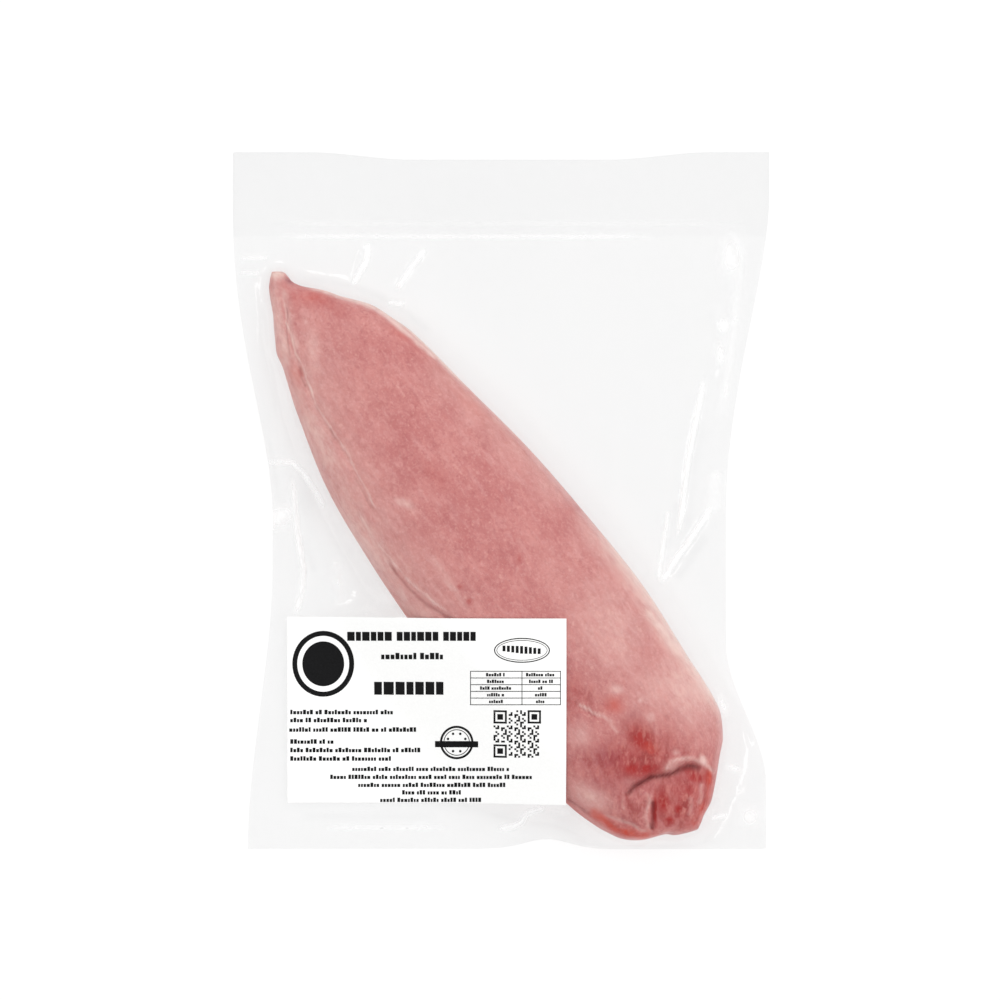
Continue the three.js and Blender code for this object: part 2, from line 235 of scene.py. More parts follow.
left_of = lambda t: station(t, 1)
right_of = lambda t: station(t, 2)
height_of = lambda t: station(t, 3)
belt_of = lambda t: np.minimum(BELT_LIMIT, BELT_SHARE * height_of(t))
MIDDLE = 160.0
print("width and height in the middle, mm:", round(float(right_of(MIDDLE) - left_of(MIDDLE)), 1),
      float(height_of(MIDDLE)))


# %% From the muscle's line to the pack's plan and back
def to_plan(t, q):
    return TIP[0] + AXIS[0] * t + ACROSS[0] * q, TIP[1] + AXIS[1] * t + ACROSS[1] * q


def to_line(x, y):
    u, v = x - TIP[0], y - TIP[1]
    return u * AXIS[0] + v * AXIS[1], u * ACROSS[0] + v * ACROSS[1]


def steepness(t, q):
    """0 on the widest line, 1 on the crown: the sine of the angle round the section."""
    half = np.maximum((right_of(t) - left_of(t)) / 2, 1e-6)
    side = np.clip(np.abs(q - (right_of(t) + left_of(t)) / 2) / half, 0, 1)
    return np.sqrt(np.maximum(0, 1 - side ** (2 / DOME_POWER)))


def dome(t, q):
    return belt_of(t) + (height_of(t) - belt_of(t)) * steepness(t, q) ** DOME_POWER


# %% [markdown]
# ## Where the label lies
# The label is a stiff paper sticker, 120 x 80 mm. Over the meat it follows the dome. Beside the meat it
# can't follow the film down, so it leaves the dome on a tangent and runs out as a ramp. The meat is
# pressed flat under it, so this comes before the meat's relief.

# %% Label rectangle and its bed
LABEL = dict(left=-91.9, right=27.7, bottom=-130.0, top=-50.0, gap=0.45)
RAMP = dict(touch=10.0, soft=3.0)   # it leaves the dome this far inside the meat's edge, with this soft a bend
SKIRT = dict(flat=2.0, fall=12.0)   # the meat is pressed flat this far outside the label, and then less
WING = dict(under=0.45, over=0.9, under_reach=24.0, over_reach=15.0)  # how the two sheets rise to the meat


def under_label(x, y):
    """1 inside the label's rectangle, falling to 0 a little way outside it."""
    beyond = np.maximum(np.maximum(LABEL["left"] - x, x - LABEL["right"]),
                        np.maximum(LABEL["bottom"] - y, y - LABEL["top"]))
    return smooth(1 - (beyond - SKIRT["flat"]) / SKIRT["fall"])


def label_bed(t, depth, film):
    """Height of the bed `depth` inside the meat's left edge; `film` is the film's height beside the meat."""
    left, touch = left_of(t), RAMP["touch"]
    slope = (dome(t, left + touch + 1) - dome(t, left + touch - 1)) / 2
    line = dome(t, left + touch) + slope * (depth - touch)
    ramp = film + RAMP["soft"] * np.logaddexp(0, (line - film) / RAMP["soft"])
    return np.where(depth >= touch, dome(t, left + np.maximum(depth, touch)), ramp)


def table_ripple(x, y):
    """Height of the faint waves that the empty film makes on the table."""
    return BAG["ripple"] * (1 + np.sin(x / 27 + y / 61) * np.cos(y / 34 - x / 83))


def bed_at(x, y):
    """Height of the label's underside over any place, on the meat or on the film beside it."""
    t, q = to_line(x, y)
    t = np.clip(t, 0, MEAT_LENGTH)
    depth = q - left_of(t)
    beside = np.maximum(0, -depth)
    lifted = smooth(1 - beside / WING["under_reach"])
    sheet = table_ripple(x, y) * (1 - lifted) + WING["under"] * belt_of(t) * lifted + BAG["film"]
    rise = np.maximum(0, (WING["over"] - WING["under"]) * belt_of(t) - BAG["film"])
    return label_bed(t, depth, sheet + rise * smooth(1 - beside / WING["over_reach"]) ** 1.5) + LABEL["gap"]


# %% [markdown]
# ## The muscle's relief
# Butchers know the parts: a narrow side muscle lies along the left edge behind a groove, a thin nub ends
# the tip, silverskin and veils of fat cross the surface, and the thick end is tucked under a flap. Each
# part is a named path in the view from above with a depth, so moving one number moves one crease. The
# grooves come first.

# %% Paths of the grooves, ridges and creases
GROOVE_UPPER = [(281, 284), (285.5, 310), (289, 334), (293, 350), (298.5, 366), (307, 387), (315.5, 408),
    (325.5, 425.5), (337, 442), (345.5, 455.5), (354, 472), (363.5, 490), (372, 507), (382, 522)]
GROOVE_LOWER = [(352, 503), (365.5, 530), (375.5, 545.5), (388.5, 562), (402, 577.5), (415, 591),
    (432.5, 606), (462, 628)]
STRIP_CREASE = [(352, 534), (368, 560), (386, 581), (401, 600), (418, 622)]
NUB_CREASE = [(283, 277), (289, 281), (295, 284.5)]
MUSCLE_FOLD = [(573, 700), (579, 707), (588.5, 713), (597, 717.5)]
END_CREASE = [(623.4, 797), (629.4, 792), (635, 786), (642.4, 782.3), (651, 777.4), (659.7, 776.3),
    (668.4, 774.7), (675, 772), (682.5, 767.6), (688, 765.5), (694.4, 766), (701, 768.7)]
END_LIP = [(664.6, 772.5), (666.8, 767), (669.5, 763.3), (675, 760.6), (681.4, 759.5), (688, 758),
    (694.4, 758.4), (700, 761.7), (704.2, 765), (708.5, 767), (713, 771.4), (714.5, 775.8)]
END_CLEFT = [(652.7, 800), (653.8, 809), (653.2, 818), (652.2, 827), (653.2, 831)]
END_RIDGE = [(645.7, 792), (648.4, 796.4), (649.4, 805), (646.7, 813.7), (647.3, 822.4), (650, 830)]
FLAP_EDGE = [(600, 812), (606.6, 816), (618.5, 819.7), (627.2, 823), (635, 826.7), (640.2, 830), (650, 831.6)]
SIDE_FOLD = [(567, 799), (581, 808), (592, 815)]

# %% Depths: path, millimetres up or down, half width
CARVED = [
    (GROOVE_UPPER, -0.7, 1.0), (GROOVE_UPPER, -0.6, 3.2), (GROOVE_LOWER, -0.8, 1.1),
    (GROOVE_LOWER, -0.5, 3.0), (STRIP_CREASE, -0.35, 1.1), (NUB_CREASE, -1.2, 1.1), (MUSCLE_FOLD, -0.7, 0.9),
    (END_CREASE, -1.6, 0.95), (END_CREASE, -1.2, 3.2), (END_LIP, 1.0, 1.8), (END_CLEFT, -1.1, 0.9),
    (END_CLEFT, -0.8, 2.8), (END_RIDGE, 0.6, 1.2), (FLAP_EDGE, -0.8, 1.1), (SIDE_FOLD, -0.8, 1.1)]
SWELLS = [  # centre, radii, millimetres, turn
    ((690, 800), (11.0, 12.5), 2.6, 0), ((630, 805), (7.0, 7.5), 1.4, 0), ((296, 420), (4.5, 30.0), 0.9, 22),
    ((690, 745), (13.0, 8.0), 1.2, 0), ((612, 745), (16.0, 9.0), -0.9, 30), ((284, 282), (3.0, 4.5), 0.8, 0)]


# height, length, width and seed of each kind of lump
BROAD_LUMPS, SMALL_LUMPS, END_LUMPS = (0.75, 46, 27, 11), (0.3, 19, 13, 12), (0.45, 6.5, 5.5, 16)
FINE_FIBRES, FIBRE_DRIFT = (0.05, 9, 1.7, 14), (0.5, 30, 20, 15)
FIBRES = dict(high=0.13, long=24, wide=3.1, seed=13)
END_LUMPS_FROM, END_LUMPS_OVER = 262, 14
CALM_TIP, TIP_OVER = 4, 20  # the first millimetres of the tip are smooth


def lumps(t, q):
    """The soft unevenness of muscle: broad lumps and fine ripples along its fibres."""
    broad = ripples(BROAD_LUMPS, t, q) + ripples(SMALL_LUMPS, t, q)
    broad = broad + ripples(END_LUMPS, t, q) * smooth((t - END_LUMPS_FROM) / END_LUMPS_OVER)
    drift = ripples(FIBRE_DRIFT, t, q)
    fibre = FIBRES["high"] * noise(t / FIBRES["long"], q / FIBRES["wide"] + drift, FIBRES["seed"])
    return broad + (fibre + ripples(FINE_FIBRES, t, q))


def relief(t, q):
    x, y = to_plan(t, q)
    shown_x, shown_y = seen(x, y, dome(t, q))
    out = lumps(t, q) * smooth((t - CALM_TIP) / TIP_OVER)
    for path, depth, half in CARVED:
        out = out + depth * stroke(path, half, shown_x, shown_y)
    for centre, radii, high, turn in SWELLS:
        out = out + high * patch(centre, radii, shown_x, shown_y, turn)
    return lerp(out, np.minimum(out, 0), under_label(x, y))


def meat_top(t, q):
    return dome(t, q) + relief(t, q) * steepness(t, q) ** 0.5


print("relief on the crown and in the end crease, mm:",
      np.round(relief(np.array([150.0, 275.0]), np.array([8.0, 17.5])), 2))

# %% [markdown]
# ## The meat as a mesh
# A closed form that tapers like this is best built as rings: each ring is one section, and the rings are
# joined by quads from tip to end. The rings crowd together at both ends, where the outline turns quickly.
# The base is a finger's width narrower than the widest line, as meat lies on a table.

# %% Ring places and ring points
TOP_POINTS, BASE_POINTS, SECTIONS = 166, 52, 396
BASE_CLEAR = 0.35  # the meat's base lies this far above the table, on the film
RING_GAP, TIP_CROWD, END_CROWD = dict(least=0.3, more=0.55), 14, 28  # they crowd over these lengths


def section_places():
    fine = np.linspace(0, MEAT_LENGTH, 4000)
    wider = RING_GAP["more"] * smooth(fine / TIP_CROWD) * smooth((MEAT_LENGTH - fine) / END_CROWD)
    density = 1 / (RING_GAP["least"] + wider)
    share = np.concatenate([[0], np.cumsum((density[1:] + density[:-1]) / 2)])
    return np.interp(np.linspace(0, share[-1], SECTIONS), share, fine)


def base_of(t, q):
    return np.maximum(BASE_CLEAR, belt_of(t) * (1 - BASE_SINK * steepness(t, q) ** BASE_POWER))


places = section_places()
over = np.linspace(0, math.pi, TOP_POINTS + 1)
under = math.pi * (1 - np.cos(np.linspace(0, math.pi, BASE_POINTS + 1)[1:-1])) / 2
turn_share = np.concatenate(
    [signed_power(np.cos(over), DOME_POWER), -signed_power(np.cos(under), DOME_POWER)])
is_top = np.arange(len(turn_share)) <= TOP_POINTS
ring_t = np.repeat(places[:, None], len(turn_share), 1)
half_width = (right_of(places) - left_of(places))[:, None] / 2
ring_q = (right_of(places) + left_of(places))[:, None] / 2 + half_width * turn_share[None, :]
ring_z = np.where(is_top[None, :], meat_top(ring_t, ring_q), base_of(ring_t, ring_q))
print("rings", ring_t.shape, "highest point of the meat, mm:", round(float(ring_z.max()), 2))


# %% A mesh from points and faces
def new_piece(name, points_mm, faces, smooth_faces=True):
    """A mesh object at the origin; its points are given in millimetres."""
    mesh = bpy.data.meshes.new(name)
    mesh.from_pydata((np.asarray(points_mm) * METRE).tolist(), [], faces)
    mesh.validate()
    mesh.polygons.foreach_set("use_smooth", [smooth_faces] * len(mesh.polygons))
    mesh.update()
    piece = bpy.data.objects.new(name, mesh)
    bpy.context.scene.collection.objects.link(piece)
    return piece


def set_field(piece, name, values):
    """A number on each point of the mesh, for the material to read."""
    layer = piece.data.attributes.new(name, "FLOAT", "POINT")
    layer.data.foreach_set("value", np.asarray(values, np.float32).ravel())


def grid_faces(number, facing_up=True):
    """Quads between the points of a numbered grid."""
    corners = [number[:-1, :-1], number[:-1, 1:], number[1:, 1:], number[1:, :-1]]
    if not facing_up:
        corners = corners[:1] + corners[:0:-1]
    return np.stack(corners, -1).reshape(-1, 4).tolist()


def border_of(grid):
    """True on the outermost points of a grid."""
    outermost = np.ones(grid.shape, bool)
    outermost[1:-1, 1:-1] = False
    return outermost


# %% Join the rings
ring_x, ring_y = to_plan(ring_t, ring_q)
around = ring_t.shape[1]
number = np.arange(SECTIONS * around).reshape(SECTIONS, around)
turned = np.roll(number, -1, axis=1)
quads = np.stack([number[:-1], number[1:], turned[1:], turned[:-1]], -1).reshape(-1, 4).tolist()
poles = []
for end, t_pole in ((0, -0.35), (-1, MEAT_LENGTH + 0.5)):  # just beyond the first and the last ring
    px, py = to_plan(t_pole, float(ring_q[end].mean()))
    poles.append([px, py, float(height_of(places[end])) / 2])
first, last = SECTIONS * around, SECTIONS * around + 1
fans = [[first, int(a), int(b)] for a, b in zip(number[0], turned[0])]
fans += [[last, int(b), int(a)] for a, b in zip(number[-1], turned[-1])]
meat_points = np.concatenate([np.stack([ring_x, ring_y, ring_z], -1).reshape(-1, 3), np.array(poles)])
meat = new_piece("tenderloin", meat_points, quads + fans)
print("tenderloin:", len(meat.data.vertices), "points,", len(meat.data.polygons), "faces")

# %% [markdown]
# ## Where the meat changes colour, and where light and shade are painted on it
# Lean meat is rose red, silverskin is a pale veil, fat is cream and cut fibre is deep red. Shade is painted
# in as dark and violet tones in the folds, creases and groove, and light as paler tones and glare down the
# right side, which faces the light. These follow the muscle, so they are painted as fields on the mesh
# points: each is a list of named strokes and ovals with a strength. The material later mixes its colours
# by these fields and adds the fine grain itself.

# %% Pale silverskin and veils, and painted light and glare down the right side
PALE_STROKES = [
    ([(284, 284), (283, 297), (285.4, 310), (286.5, 322), (290.5, 332), (293.5, 345), (296, 354.5),
         (301, 364), (310, 386), (318, 408), (328, 424.6), (339.7, 441), (348, 454.5), (356.3, 471),
         (366, 489.3), (374.5, 506), (384.5, 521)], 0.62, 1.0),
    ([(284.5, 286), (284, 298), (287.5, 312), (289, 326), (294, 340), (298, 354)], 2.0, 0.6),
    ([(354.6, 502.6), (368, 529), (378, 544), (391, 560.6), (404.4, 575.5), (417.6, 588.8), (435, 603.7),
         (450, 614)], 0.65, 1.0), ([(404.4, 577.5), (418, 590), (436, 605)], 2.0, 0.45),
    ([(376, 556), (393, 579), (405, 597), (416, 612)], 0.55, 0.75),
    ([(340, 497), (352, 520), (362, 538)], 0.6, 0.5),
    ([(306, 288.5), (320, 289.5), (340, 296.5), (363, 303.5), (384, 313.5), (398, 325.5), (421, 345.5),
         (440, 362.5)], 1.0, 1.0), ([(428, 552), (441, 572), (455, 592), (468, 612)], 2.4, 0.4),
    ([(352, 446), (372, 470), (384, 488)], 0.5, 0.35), ([(616, 560), (626, 589), (636, 598)], 1.5, 0.5),
    ([(577, 704.5), (588, 709.5), (598.5, 714.5), (607, 718.3)], 0.6, 0.85),
    ([(604, 717), (610.7, 722), (613.6, 727), (617.4, 734)], 0.7, 0.7),
    ([(684, 678), (690, 682), (696, 688)], 0.6, 0.7), (END_LIP, 0.85, 0.75), (END_RIDGE, 0.9, 0.45),
    (FLAP_EDGE, 0.7, 0.5), ([(690, 797), (692, 805), (690, 816)], 1.2, 0.35),
    ([(702, 783), (702, 796), (698.8, 805)], 0.9, 0.4), ([(624, 798), (622, 803), (624.5, 811)], 0.5, 0.35)]
# Several broad ovals on the right shoulder and by the right edge are painted light and the film's glare; the rest
# are veils and silverskin.
PALE_PATCHES = [
    ((305.8, 321.8), (1.1, 1.3), 0.6, 0), ((312, 350), (5.0, 13.0), 0.5, 12),
    ((404, 503), (4.8, 2.2), 0.65, -25), ((614, 628), (18, 24), 0.45, 20), ((598, 643), (4.5, 5.5), 0.4, 20),
    ((616.4, 689.7), (3.4, 2.4), 0.7, 0), ((640, 590), (7, 24), 0.6, 34), ((688, 688), (13, 18), 0.7, 30),
    ((641, 701), (1.6, 1.8), 0.8, 0), ((662, 686), (16, 15), 0.42, 0), ((580, 735), (5, 6), 0.45, 0),
    ((652, 716.4), (2.4, 2.4), 0.6, 0), ((590, 797), (10, 4.5), 0.6, -30),
    ((703.4, 760.5), (1.3, 2.3), 0.9, 25), ((676.6, 753), (1.4, 1.2), 0.75, 0),
    ((672, 766), (3.6, 2.2), 0.55, 30), ((629.7, 781.7), (3.5, 1.6), 0.15, 0),
    ((277, 320), (2.8, 18.0), 0.7, 4), ((283, 345), (3.5, 20.0), 0.75, 10),
    ((318, 440), (6.0, 28.0), 0.8, 27), ((364, 540), (8.0, 30.0), 0.8, 36),
    ((400, 592), (5.0, 14.0), 0.55, 40), ((560, 575), (22, 12), 0.1, -40)]

# %% Cream fat and painted glare, deep red fibre, orange edges, painted violet and dark shade, red dots
# The long first stroke, down the right edge, is the film's painted glare as well as fat; the others are fat.
FAT_AND_GLARE_STROKES = [
    ([(646, 606), (655, 619), (665, 634), (676, 648), (691, 663), (703, 682), (713, 699)], 2.6, 0.85),
    ([(320, 288.5), (340, 295.5), (363, 302.5), (384, 312.5), (398, 324.5), (421, 344.5),
         (440, 361.5)], 0.7, 0.8), ([(640, 560), (652, 590), (662, 612)], 1.8, 0.6),
    ([(596, 520), (622, 556), (640, 590)], 1.2, 0.45)]
FAT_PATCHES = [
    ((277, 274.5), (3.2, 2.2), 0.9, 0), ((282, 352), (1.6, 5.0), 0.3, 0),
    ((703.4, 760.5), (1.0, 1.6), 0.6, 25)]
RED_PATCHES = [
    ((574, 690), (3.6, 7), 0.35, 0), ((588, 696), (5.0, 4.4), 0.15, 0), ((642, 739), (5.6, 7.6), 1.25, 35),
    ((651.7, 750), (5.0, 4.5), 0.8, 0), ((633.6, 769), (7, 4.4), 1.1, 0), ((648, 769.5), (7.5, 4.0), 1.1, 8),
    ((638, 762), (18, 10), 0.7, 8), ((670, 732), (6, 7), 0.2, 0), ((658.4, 755), (1.6, 1.6), 0.7, 0),
    ((652, 746), (15, 11), 0.45, 0), ((686, 800), (14, 17), 0.66, 0), ((679, 809.5), (2.6, 3.4), 1.1, 0),
    ((669.5, 821), (3.0, 2.6), 1.1, 0), ((655.5, 810), (1.3, 8.0), 1.3, 0), ((664, 802), (3.6, 7.0), 1.15, 0),
    ((690, 790), (4, 4.0), 0.9, 0), ((691, 771), (4.5, 1.6), 1.0, -10), ((697, 777), (5.0, 2.8), 1.25, -6),
    ((708.5, 779), (2.2, 3.6), 1.4, 0), ((630, 806), (11, 10), 0.25, 0), ((690, 770), (6.0, 1.8), 0.7, -6),
    ((300, 372), (1.2, 2.6), 0.7, 0), ((460, 587), (1.3, 1.0), 0.7, 0), ((469.6, 601), (1.2, 1.2), 0.85, 0),
    ((689, 738), (5, 7), 0.2, 0), ((520, 560), (1.0, 1.6), 0.5, 20), ((437, 478), (9, 4), 0.25, -50),
    ((332, 306), (6, 3), 0.3, -30)]
ORANGE_STROKES = [
    ([(708.5, 771.4), (710.7, 783), (709.6, 792), (706.4, 800.7), (704, 809.4), (700, 820),
         (691, 826)], 1.5, 0.9),
    ([(588, 809), (602, 820), (614, 829), (628, 834.5), (642, 836.5), (653, 834)], 2.2, 1.0)]
ORANGE_PATCHES = [
    ((613.6, 706), (4.0, 3.4), 0.65, 0), ((709.5, 779), (1.5, 3.6), 1.4, 0),
    ((651.7, 749), (3.0, 3.6), 0.5, 0), ((295, 376), (2.4, 5.0), 0.6, 22), ((281, 355), (1.8, 4.5), 0.5, 15),
    ((655, 838), (3.5, 2.0), 0.5, 0), ((401, 334), (5.0, 2.0), 0.3, -40), ((312, 296), (7.0, 3.4), 0.35, 0),
    ((474, 402), (14, 4), 0.25, -48)]
# Painted shade: dusky violet under the end's lip, in its creases and folds, in the nub's crease and by the tip's
# upper edge.
VIOLET_SHADE_PATCHES = [
    ((608.7, 758), (7, 5.0), 0.85, -6), ((592, 757), (8, 7.0), 0.3, -6), ((632.7, 716.4), (4, 2.6), 0.35, 0),
    ((618, 780), (15, 7.0), 0.35, 0), ((686, 777), (9, 3.6), 0.4, 10), ((288.5, 280.8), (1.9, 0.9), 0.9, -38),
    ((455, 330), (18, 10), 0.15, -50)]
# Painted shade: dark lines in the end's crease and cleft, under its lip, along the groove and in the side folds.
CREASE_SHADE_STROKES = [
    (END_CREASE, 0.85, 1.0), ([(678, 770), (686, 767.2), (695, 766.8), (702, 769)], 1.3, 0.7),
    (END_CLEFT, 0.75, 0.8), ([(651.5, 822), (651.5, 829)], 0.8, 0.6),
    ([(574, 701.5), (580, 707.5), (588.5, 713), (596.4, 717)], 0.45, 0.15),
    ([(286.5, 306), (287, 325), (288, 345), (290, 358)], 0.4, 0.3),
    ([(299, 366), (301, 376), (307, 388)], 0.5, 0.4), ([(329, 428), (336, 440)], 0.45, 0.35),
    ([(354, 476), (366, 498), (374, 512)], 0.5, 0.3),
    ([(386, 560), (399, 577), (411, 590.4), (423, 601), (434.2, 609), (452, 622)], 0.7, 0.5),
    ([(423, 602), (438, 612), (452, 622)], 0.9, 0.4), (SIDE_FOLD, 0.7, 0.45), (FLAP_EDGE, 0.4, 0.2),
    ([(711, 766), (714, 772)], 0.5, 0.45), ([(665, 715), (669, 720)], 0.7, 0.25)]
CUT_PATCHES = [
    ((688, 798), (15, 18), 1.0, 0), ((634, 808), (13, 12), 0.8, 0), ((640, 758), (20, 11), 0.9, 8),
    ((641, 735), (8, 9), 0.8, 0), ((585, 700), (10, 8), 0.6, 0), ((604, 765), (16, 9), 0.6, 0),
    ((690, 757), (12, 5), 0.6, 0)]


# %% Work the fields out on the mesh points
WANDER_OVER = 4.0  # the length over which a painted line strays from its path and comes back
UNEVEN_MEAN, UNEVEN = 0.88, (0.3, 2.7, 2.7, 43)  # how its strength varies along the way


def field(strokes, patches, x, y, wander=0.4):
    """How strong a field is at each place: the strongest of its strokes and ovals there."""
    strayed = lambda seed: ripples((wander, WANDER_OVER, WANDER_OVER, seed), x, y)
    at_x, at_y = x + strayed(41), y + strayed(42)
    uneven = UNEVEN_MEAN + ripples(UNEVEN, at_x, at_y)
    total = np.zeros(x.shape)
    for path, half, strength in strokes:
        total = np.maximum(total, strength * uneven * stroke(path, half, at_x, at_y))
    for centre, radii, strength, turn in patches:
        total = np.maximum(total, strength * patch(centre, radii, at_x, at_y, turn))
    return total


px, py, pz = meat_points.T
point_t, point_q = to_line(px, py)
on_top = np.concatenate([np.repeat(is_top[None, :], SECTIONS, 0).ravel(), [True, True]])
fades = np.where(on_top, 1.0, smooth(pz / np.maximum(belt_of(point_t), 1e-3)))
FIELDS = dict(
    pale=(PALE_STROKES, PALE_PATCHES), fat_and_glare=(FAT_AND_GLARE_STROKES, FAT_PATCHES), red=([], RED_PATCHES),
    orange=(ORANGE_STROKES, ORANGE_PATCHES), violet_shade=([], VIOLET_SHADE_PATCHES), crease_shade=(CREASE_SHADE_STROKES, []),
    cut=([], CUT_PATCHES))
from_left, from_right = point_q - left_of(point_t), right_of(point_t) - point_q
# Down the right side, the pale bands and the wider cream band are painted light and glare: that side faces the
# light, and the film glares where it leaves the meat. The pale band on the left is the side muscle's veil.
EDGE_BANDS = dict(  # from which edge, how far in, over which part of the length, how strong
    fat_and_glare=[(from_right, 1.1, 18, 92, 0.9), (from_right, 3.6, 168, 272, 0.85)],
    pale=[(from_left, 22.0, 20, 190, 0.5), (from_right, 1.6, 14, 150, 0.5), (from_right, 12.0, 60, 165, 0.35),
          (from_right, 9.0, 150, 262, 0.6)],
    orange=[(from_left, 1.6, 24, 290, 0.6), (from_right, 5.0, 40, 140, 0.16)])
BAND_FADE, BAND_FADE_SHARE = 25, 0.2  # a band fades in and out over this, or over this share of it
for name, (strokes, patches) in FIELDS.items():
    values = field(strokes, patches, *seen(px, py, pz))
    for inward, reach, begin, finish, strength in EDGE_BANDS.get(name, []):
        fade = min(BAND_FADE, BAND_FADE_SHARE * (finish - begin))
        along = smooth((point_t - begin) / fade) * smooth((finish - point_t) / fade)
        values = np.maximum(values, strength * bell(np.maximum(inward, 0) / reach) * along)
    values = values * fades
    set_field(meat, name, values)
    print("field", name, "covers", round(float((values > 0.3).mean() * 100), 1), "% of the points")

# %% [markdown]
# ## The film
# The pouch is two clear sheets welded round the edge. With the air gone, the upper sheet lies on the meat
# like paint, leaves it at the widest line, and comes down to the lower sheet in a hollow curve. That is a
# membrane pressed onto an obstacle, so it is solved as one: every point of a fine grid moves to the mean
# of its neighbours, less a little for the suction, and is never let below what lies under it.

# %% A grid that fits the bag's outline
COLUMNS, ROWS = 232, 302  # both even, because the lower sheet uses every second line
SHEET_GAP = 0.22          # the two sheets where they lie on each other
u, v = np.meshgrid(np.linspace(0, 1, COLUMNS + 1), np.linspace(0, 1, ROWS + 1))
flat_x = lerp(-LEFT_SIDE["corner"], RIGHT_SIDE["corner"], u)
film_y = lerp(seam_edge(flat_x), header_edge(flat_x), v)
film_x = lerp(-side_edge(LEFT_SIDE, film_y), side_edge(RIGHT_SIDE, film_y), u)
film_t, film_q = to_line(film_x, film_y)
near_t = np.clip(film_t, 0, MEAT_LENGTH)
cell_size = film_x[ROWS // 2, 1] - film_x[ROWS // 2, 0], film_y[1, 0] - film_y[0, 0]
print("film grid", film_x.shape, "cell, mm:", *(round(float(side), 2) for side in cell_size))

# %% How far each film point is outside the meat
outline_t = np.linspace(0, MEAT_LENGTH, 420)
outline = np.concatenate([np.stack(to_plan(outline_t, edge(outline_t)), 1) for edge in (left_of, right_of)])
inside = (film_t > 0) & (film_t < MEAT_LENGTH) & (film_q > left_of(near_t)) & (film_q < right_of(near_t))
beyond = np.zeros(film_x.shape)
for row in range(ROWS + 1):
    from_x, from_y = film_x[row][:, None] - outline[:, 0], film_y[row][:, None] - outline[:, 1]
    away = np.hypot(from_x, from_y).min(1)
    beyond[row] = np.where(inside[row], -away, away)
outside = np.maximum(beyond, 0)
print("film points over the meat:", int(inside.sum()))

# %% The lower sheet: a faint ripple on the table, lifted towards the meat, and drawn under it
SEAM_SHARE, HEADER_CALM, SEAM_CALM = 0.35, (118, 12), (147, 10)  # the ripple left at the welds, and where
LOWER_CRINKLE = (0.12, 7, 11, 21)
UNDER_MEAT, OFF_TABLE = 0.2, 0.1  # it lies this far under the meat's base, and at least this far up
free = (1 - SEAM_SHARE) * smooth((HEADER_CALM[0] - film_y) / HEADER_CALM[1])
free = free * smooth((film_y + SEAM_CALM[0]) / SEAM_CALM[1])
lift = smooth(1 - outside / WING["under_reach"])
lower = table_ripple(film_x, film_y) * (SEAM_SHARE + free) * (1 - lift)
lower = lower + WING["under"] * belt_of(near_t) * lift
lower = np.where(inside, np.minimum(lower, base_of(film_t, film_q) - UNDER_MEAT), lower)
lower = np.maximum(lower + ripples(LOWER_CRINKLE, film_x, film_y) * (1 - inside), OFF_TABLE)

# %% [markdown]
# ## Wrinkles
# Where the film is pulled tight between the meat and the weld it gathers into thin tents. Long ones run
# up the right side from the meat's shoulder, short ones stand over the tip, and small crinkles lie beside
# the end. Each tent is a named path with a height. Its ridge is an obstacle too, so its sides come out
# hollow.

# %% Tents: path, height in millimetres, half width
RIGHT_FOLD_LONG = [(704, 377), (696, 420), (688, 460), (683, 500), (678, 537)]
RIGHT_FOLD_SHORT = [(668, 510), (663, 545), (658, 580)]
RIGHT_FOLD_WIDE = [(712, 507), (690, 540), (675, 560), (661, 583)]
LEFT_FOLD = [(266, 462), (292, 463), (303, 473), (314, 489), (325, 508)]
LEFT_TUCK = [(292, 477), (297, 533), (303, 570), (302, 587), (295, 617)]
TENTS = [
    (RIGHT_FOLD_LONG, 1.5, 1.6), (RIGHT_FOLD_SHORT, 1.1, 1.5), (RIGHT_FOLD_WIDE, 1.9, 1.9),
    (LEFT_FOLD, 0.9, 1.4), (LEFT_TUCK, 1.1, 1.4), ([(366, 243), (360, 262), (352, 287)], 1.8, 1.2),
    ([(426, 249), (410, 268), (394, 292)], 1.9, 1.2), ([(380, 306), (392, 303), (407, 304)], 0.9, 0.8),
    ([(335, 248), (341, 262)], 0.6, 0.8), ([(241, 258), (254, 257), (266, 259)], 0.7, 0.7),
    ([(240, 267), (252, 266), (265, 267)], 0.6, 0.7), ([(275, 524), (283, 517), (294, 508)], 1.0, 1.2),
    ([(335, 560), (342, 604)], 0.9, 1.6), ([(714, 300), (716, 330)], 1.3, 1.1),
    ([(721, 338), (724, 352)], 1.2, 1.0), ([(712, 352), (716, 366), (713, 380)], 1.2, 1.0),
    ([(728, 232), (736, 244), (740, 262)], 1.3, 1.1), ([(694, 632), (700, 648)], 1.2, 0.9),
    ([(712, 682), (720, 694), (722, 706)], 1.2, 0.9), ([(703, 655), (712, 668)], 1.1, 0.8),
    ([(722, 762), (732, 769), (742, 771)], 1.2, 0.9), ([(720, 778), (734, 786), (746, 792)], 1.1, 0.9),
    ([(722, 800), (733, 803), (741, 810)], 1.1, 0.9), ([(738, 690), (745, 720), (752, 750)], 1.2, 1.3),
    ([(520, 820), (529, 813), (541, 808), (556, 806)], 1.6, 1.0),
    ([(508, 826), (522, 822), (530, 826)], 1.1, 0.9), ([(268, 300), (264, 340), (266, 380)], 0.8, 1.5),
    ([(270, 430), (276, 470), (280, 500)], 1.2, 1.3), ([(256, 560), (262, 600), (262, 640)], 1.0, 1.4),
    ([(611, 420), (613, 500), (618, 566)], 0.6, 2.2), ([(730, 560), (736, 600), (744, 650)], 0.9, 1.2)]
tents = np.zeros(film_x.shape)
for path, high, half in TENTS:
    tents = np.maximum(tents, high * stroke(path, half, film_x, film_y, 0.3))
print("tents:", len(TENTS), "highest, mm:", round(float(tents.max()), 2))

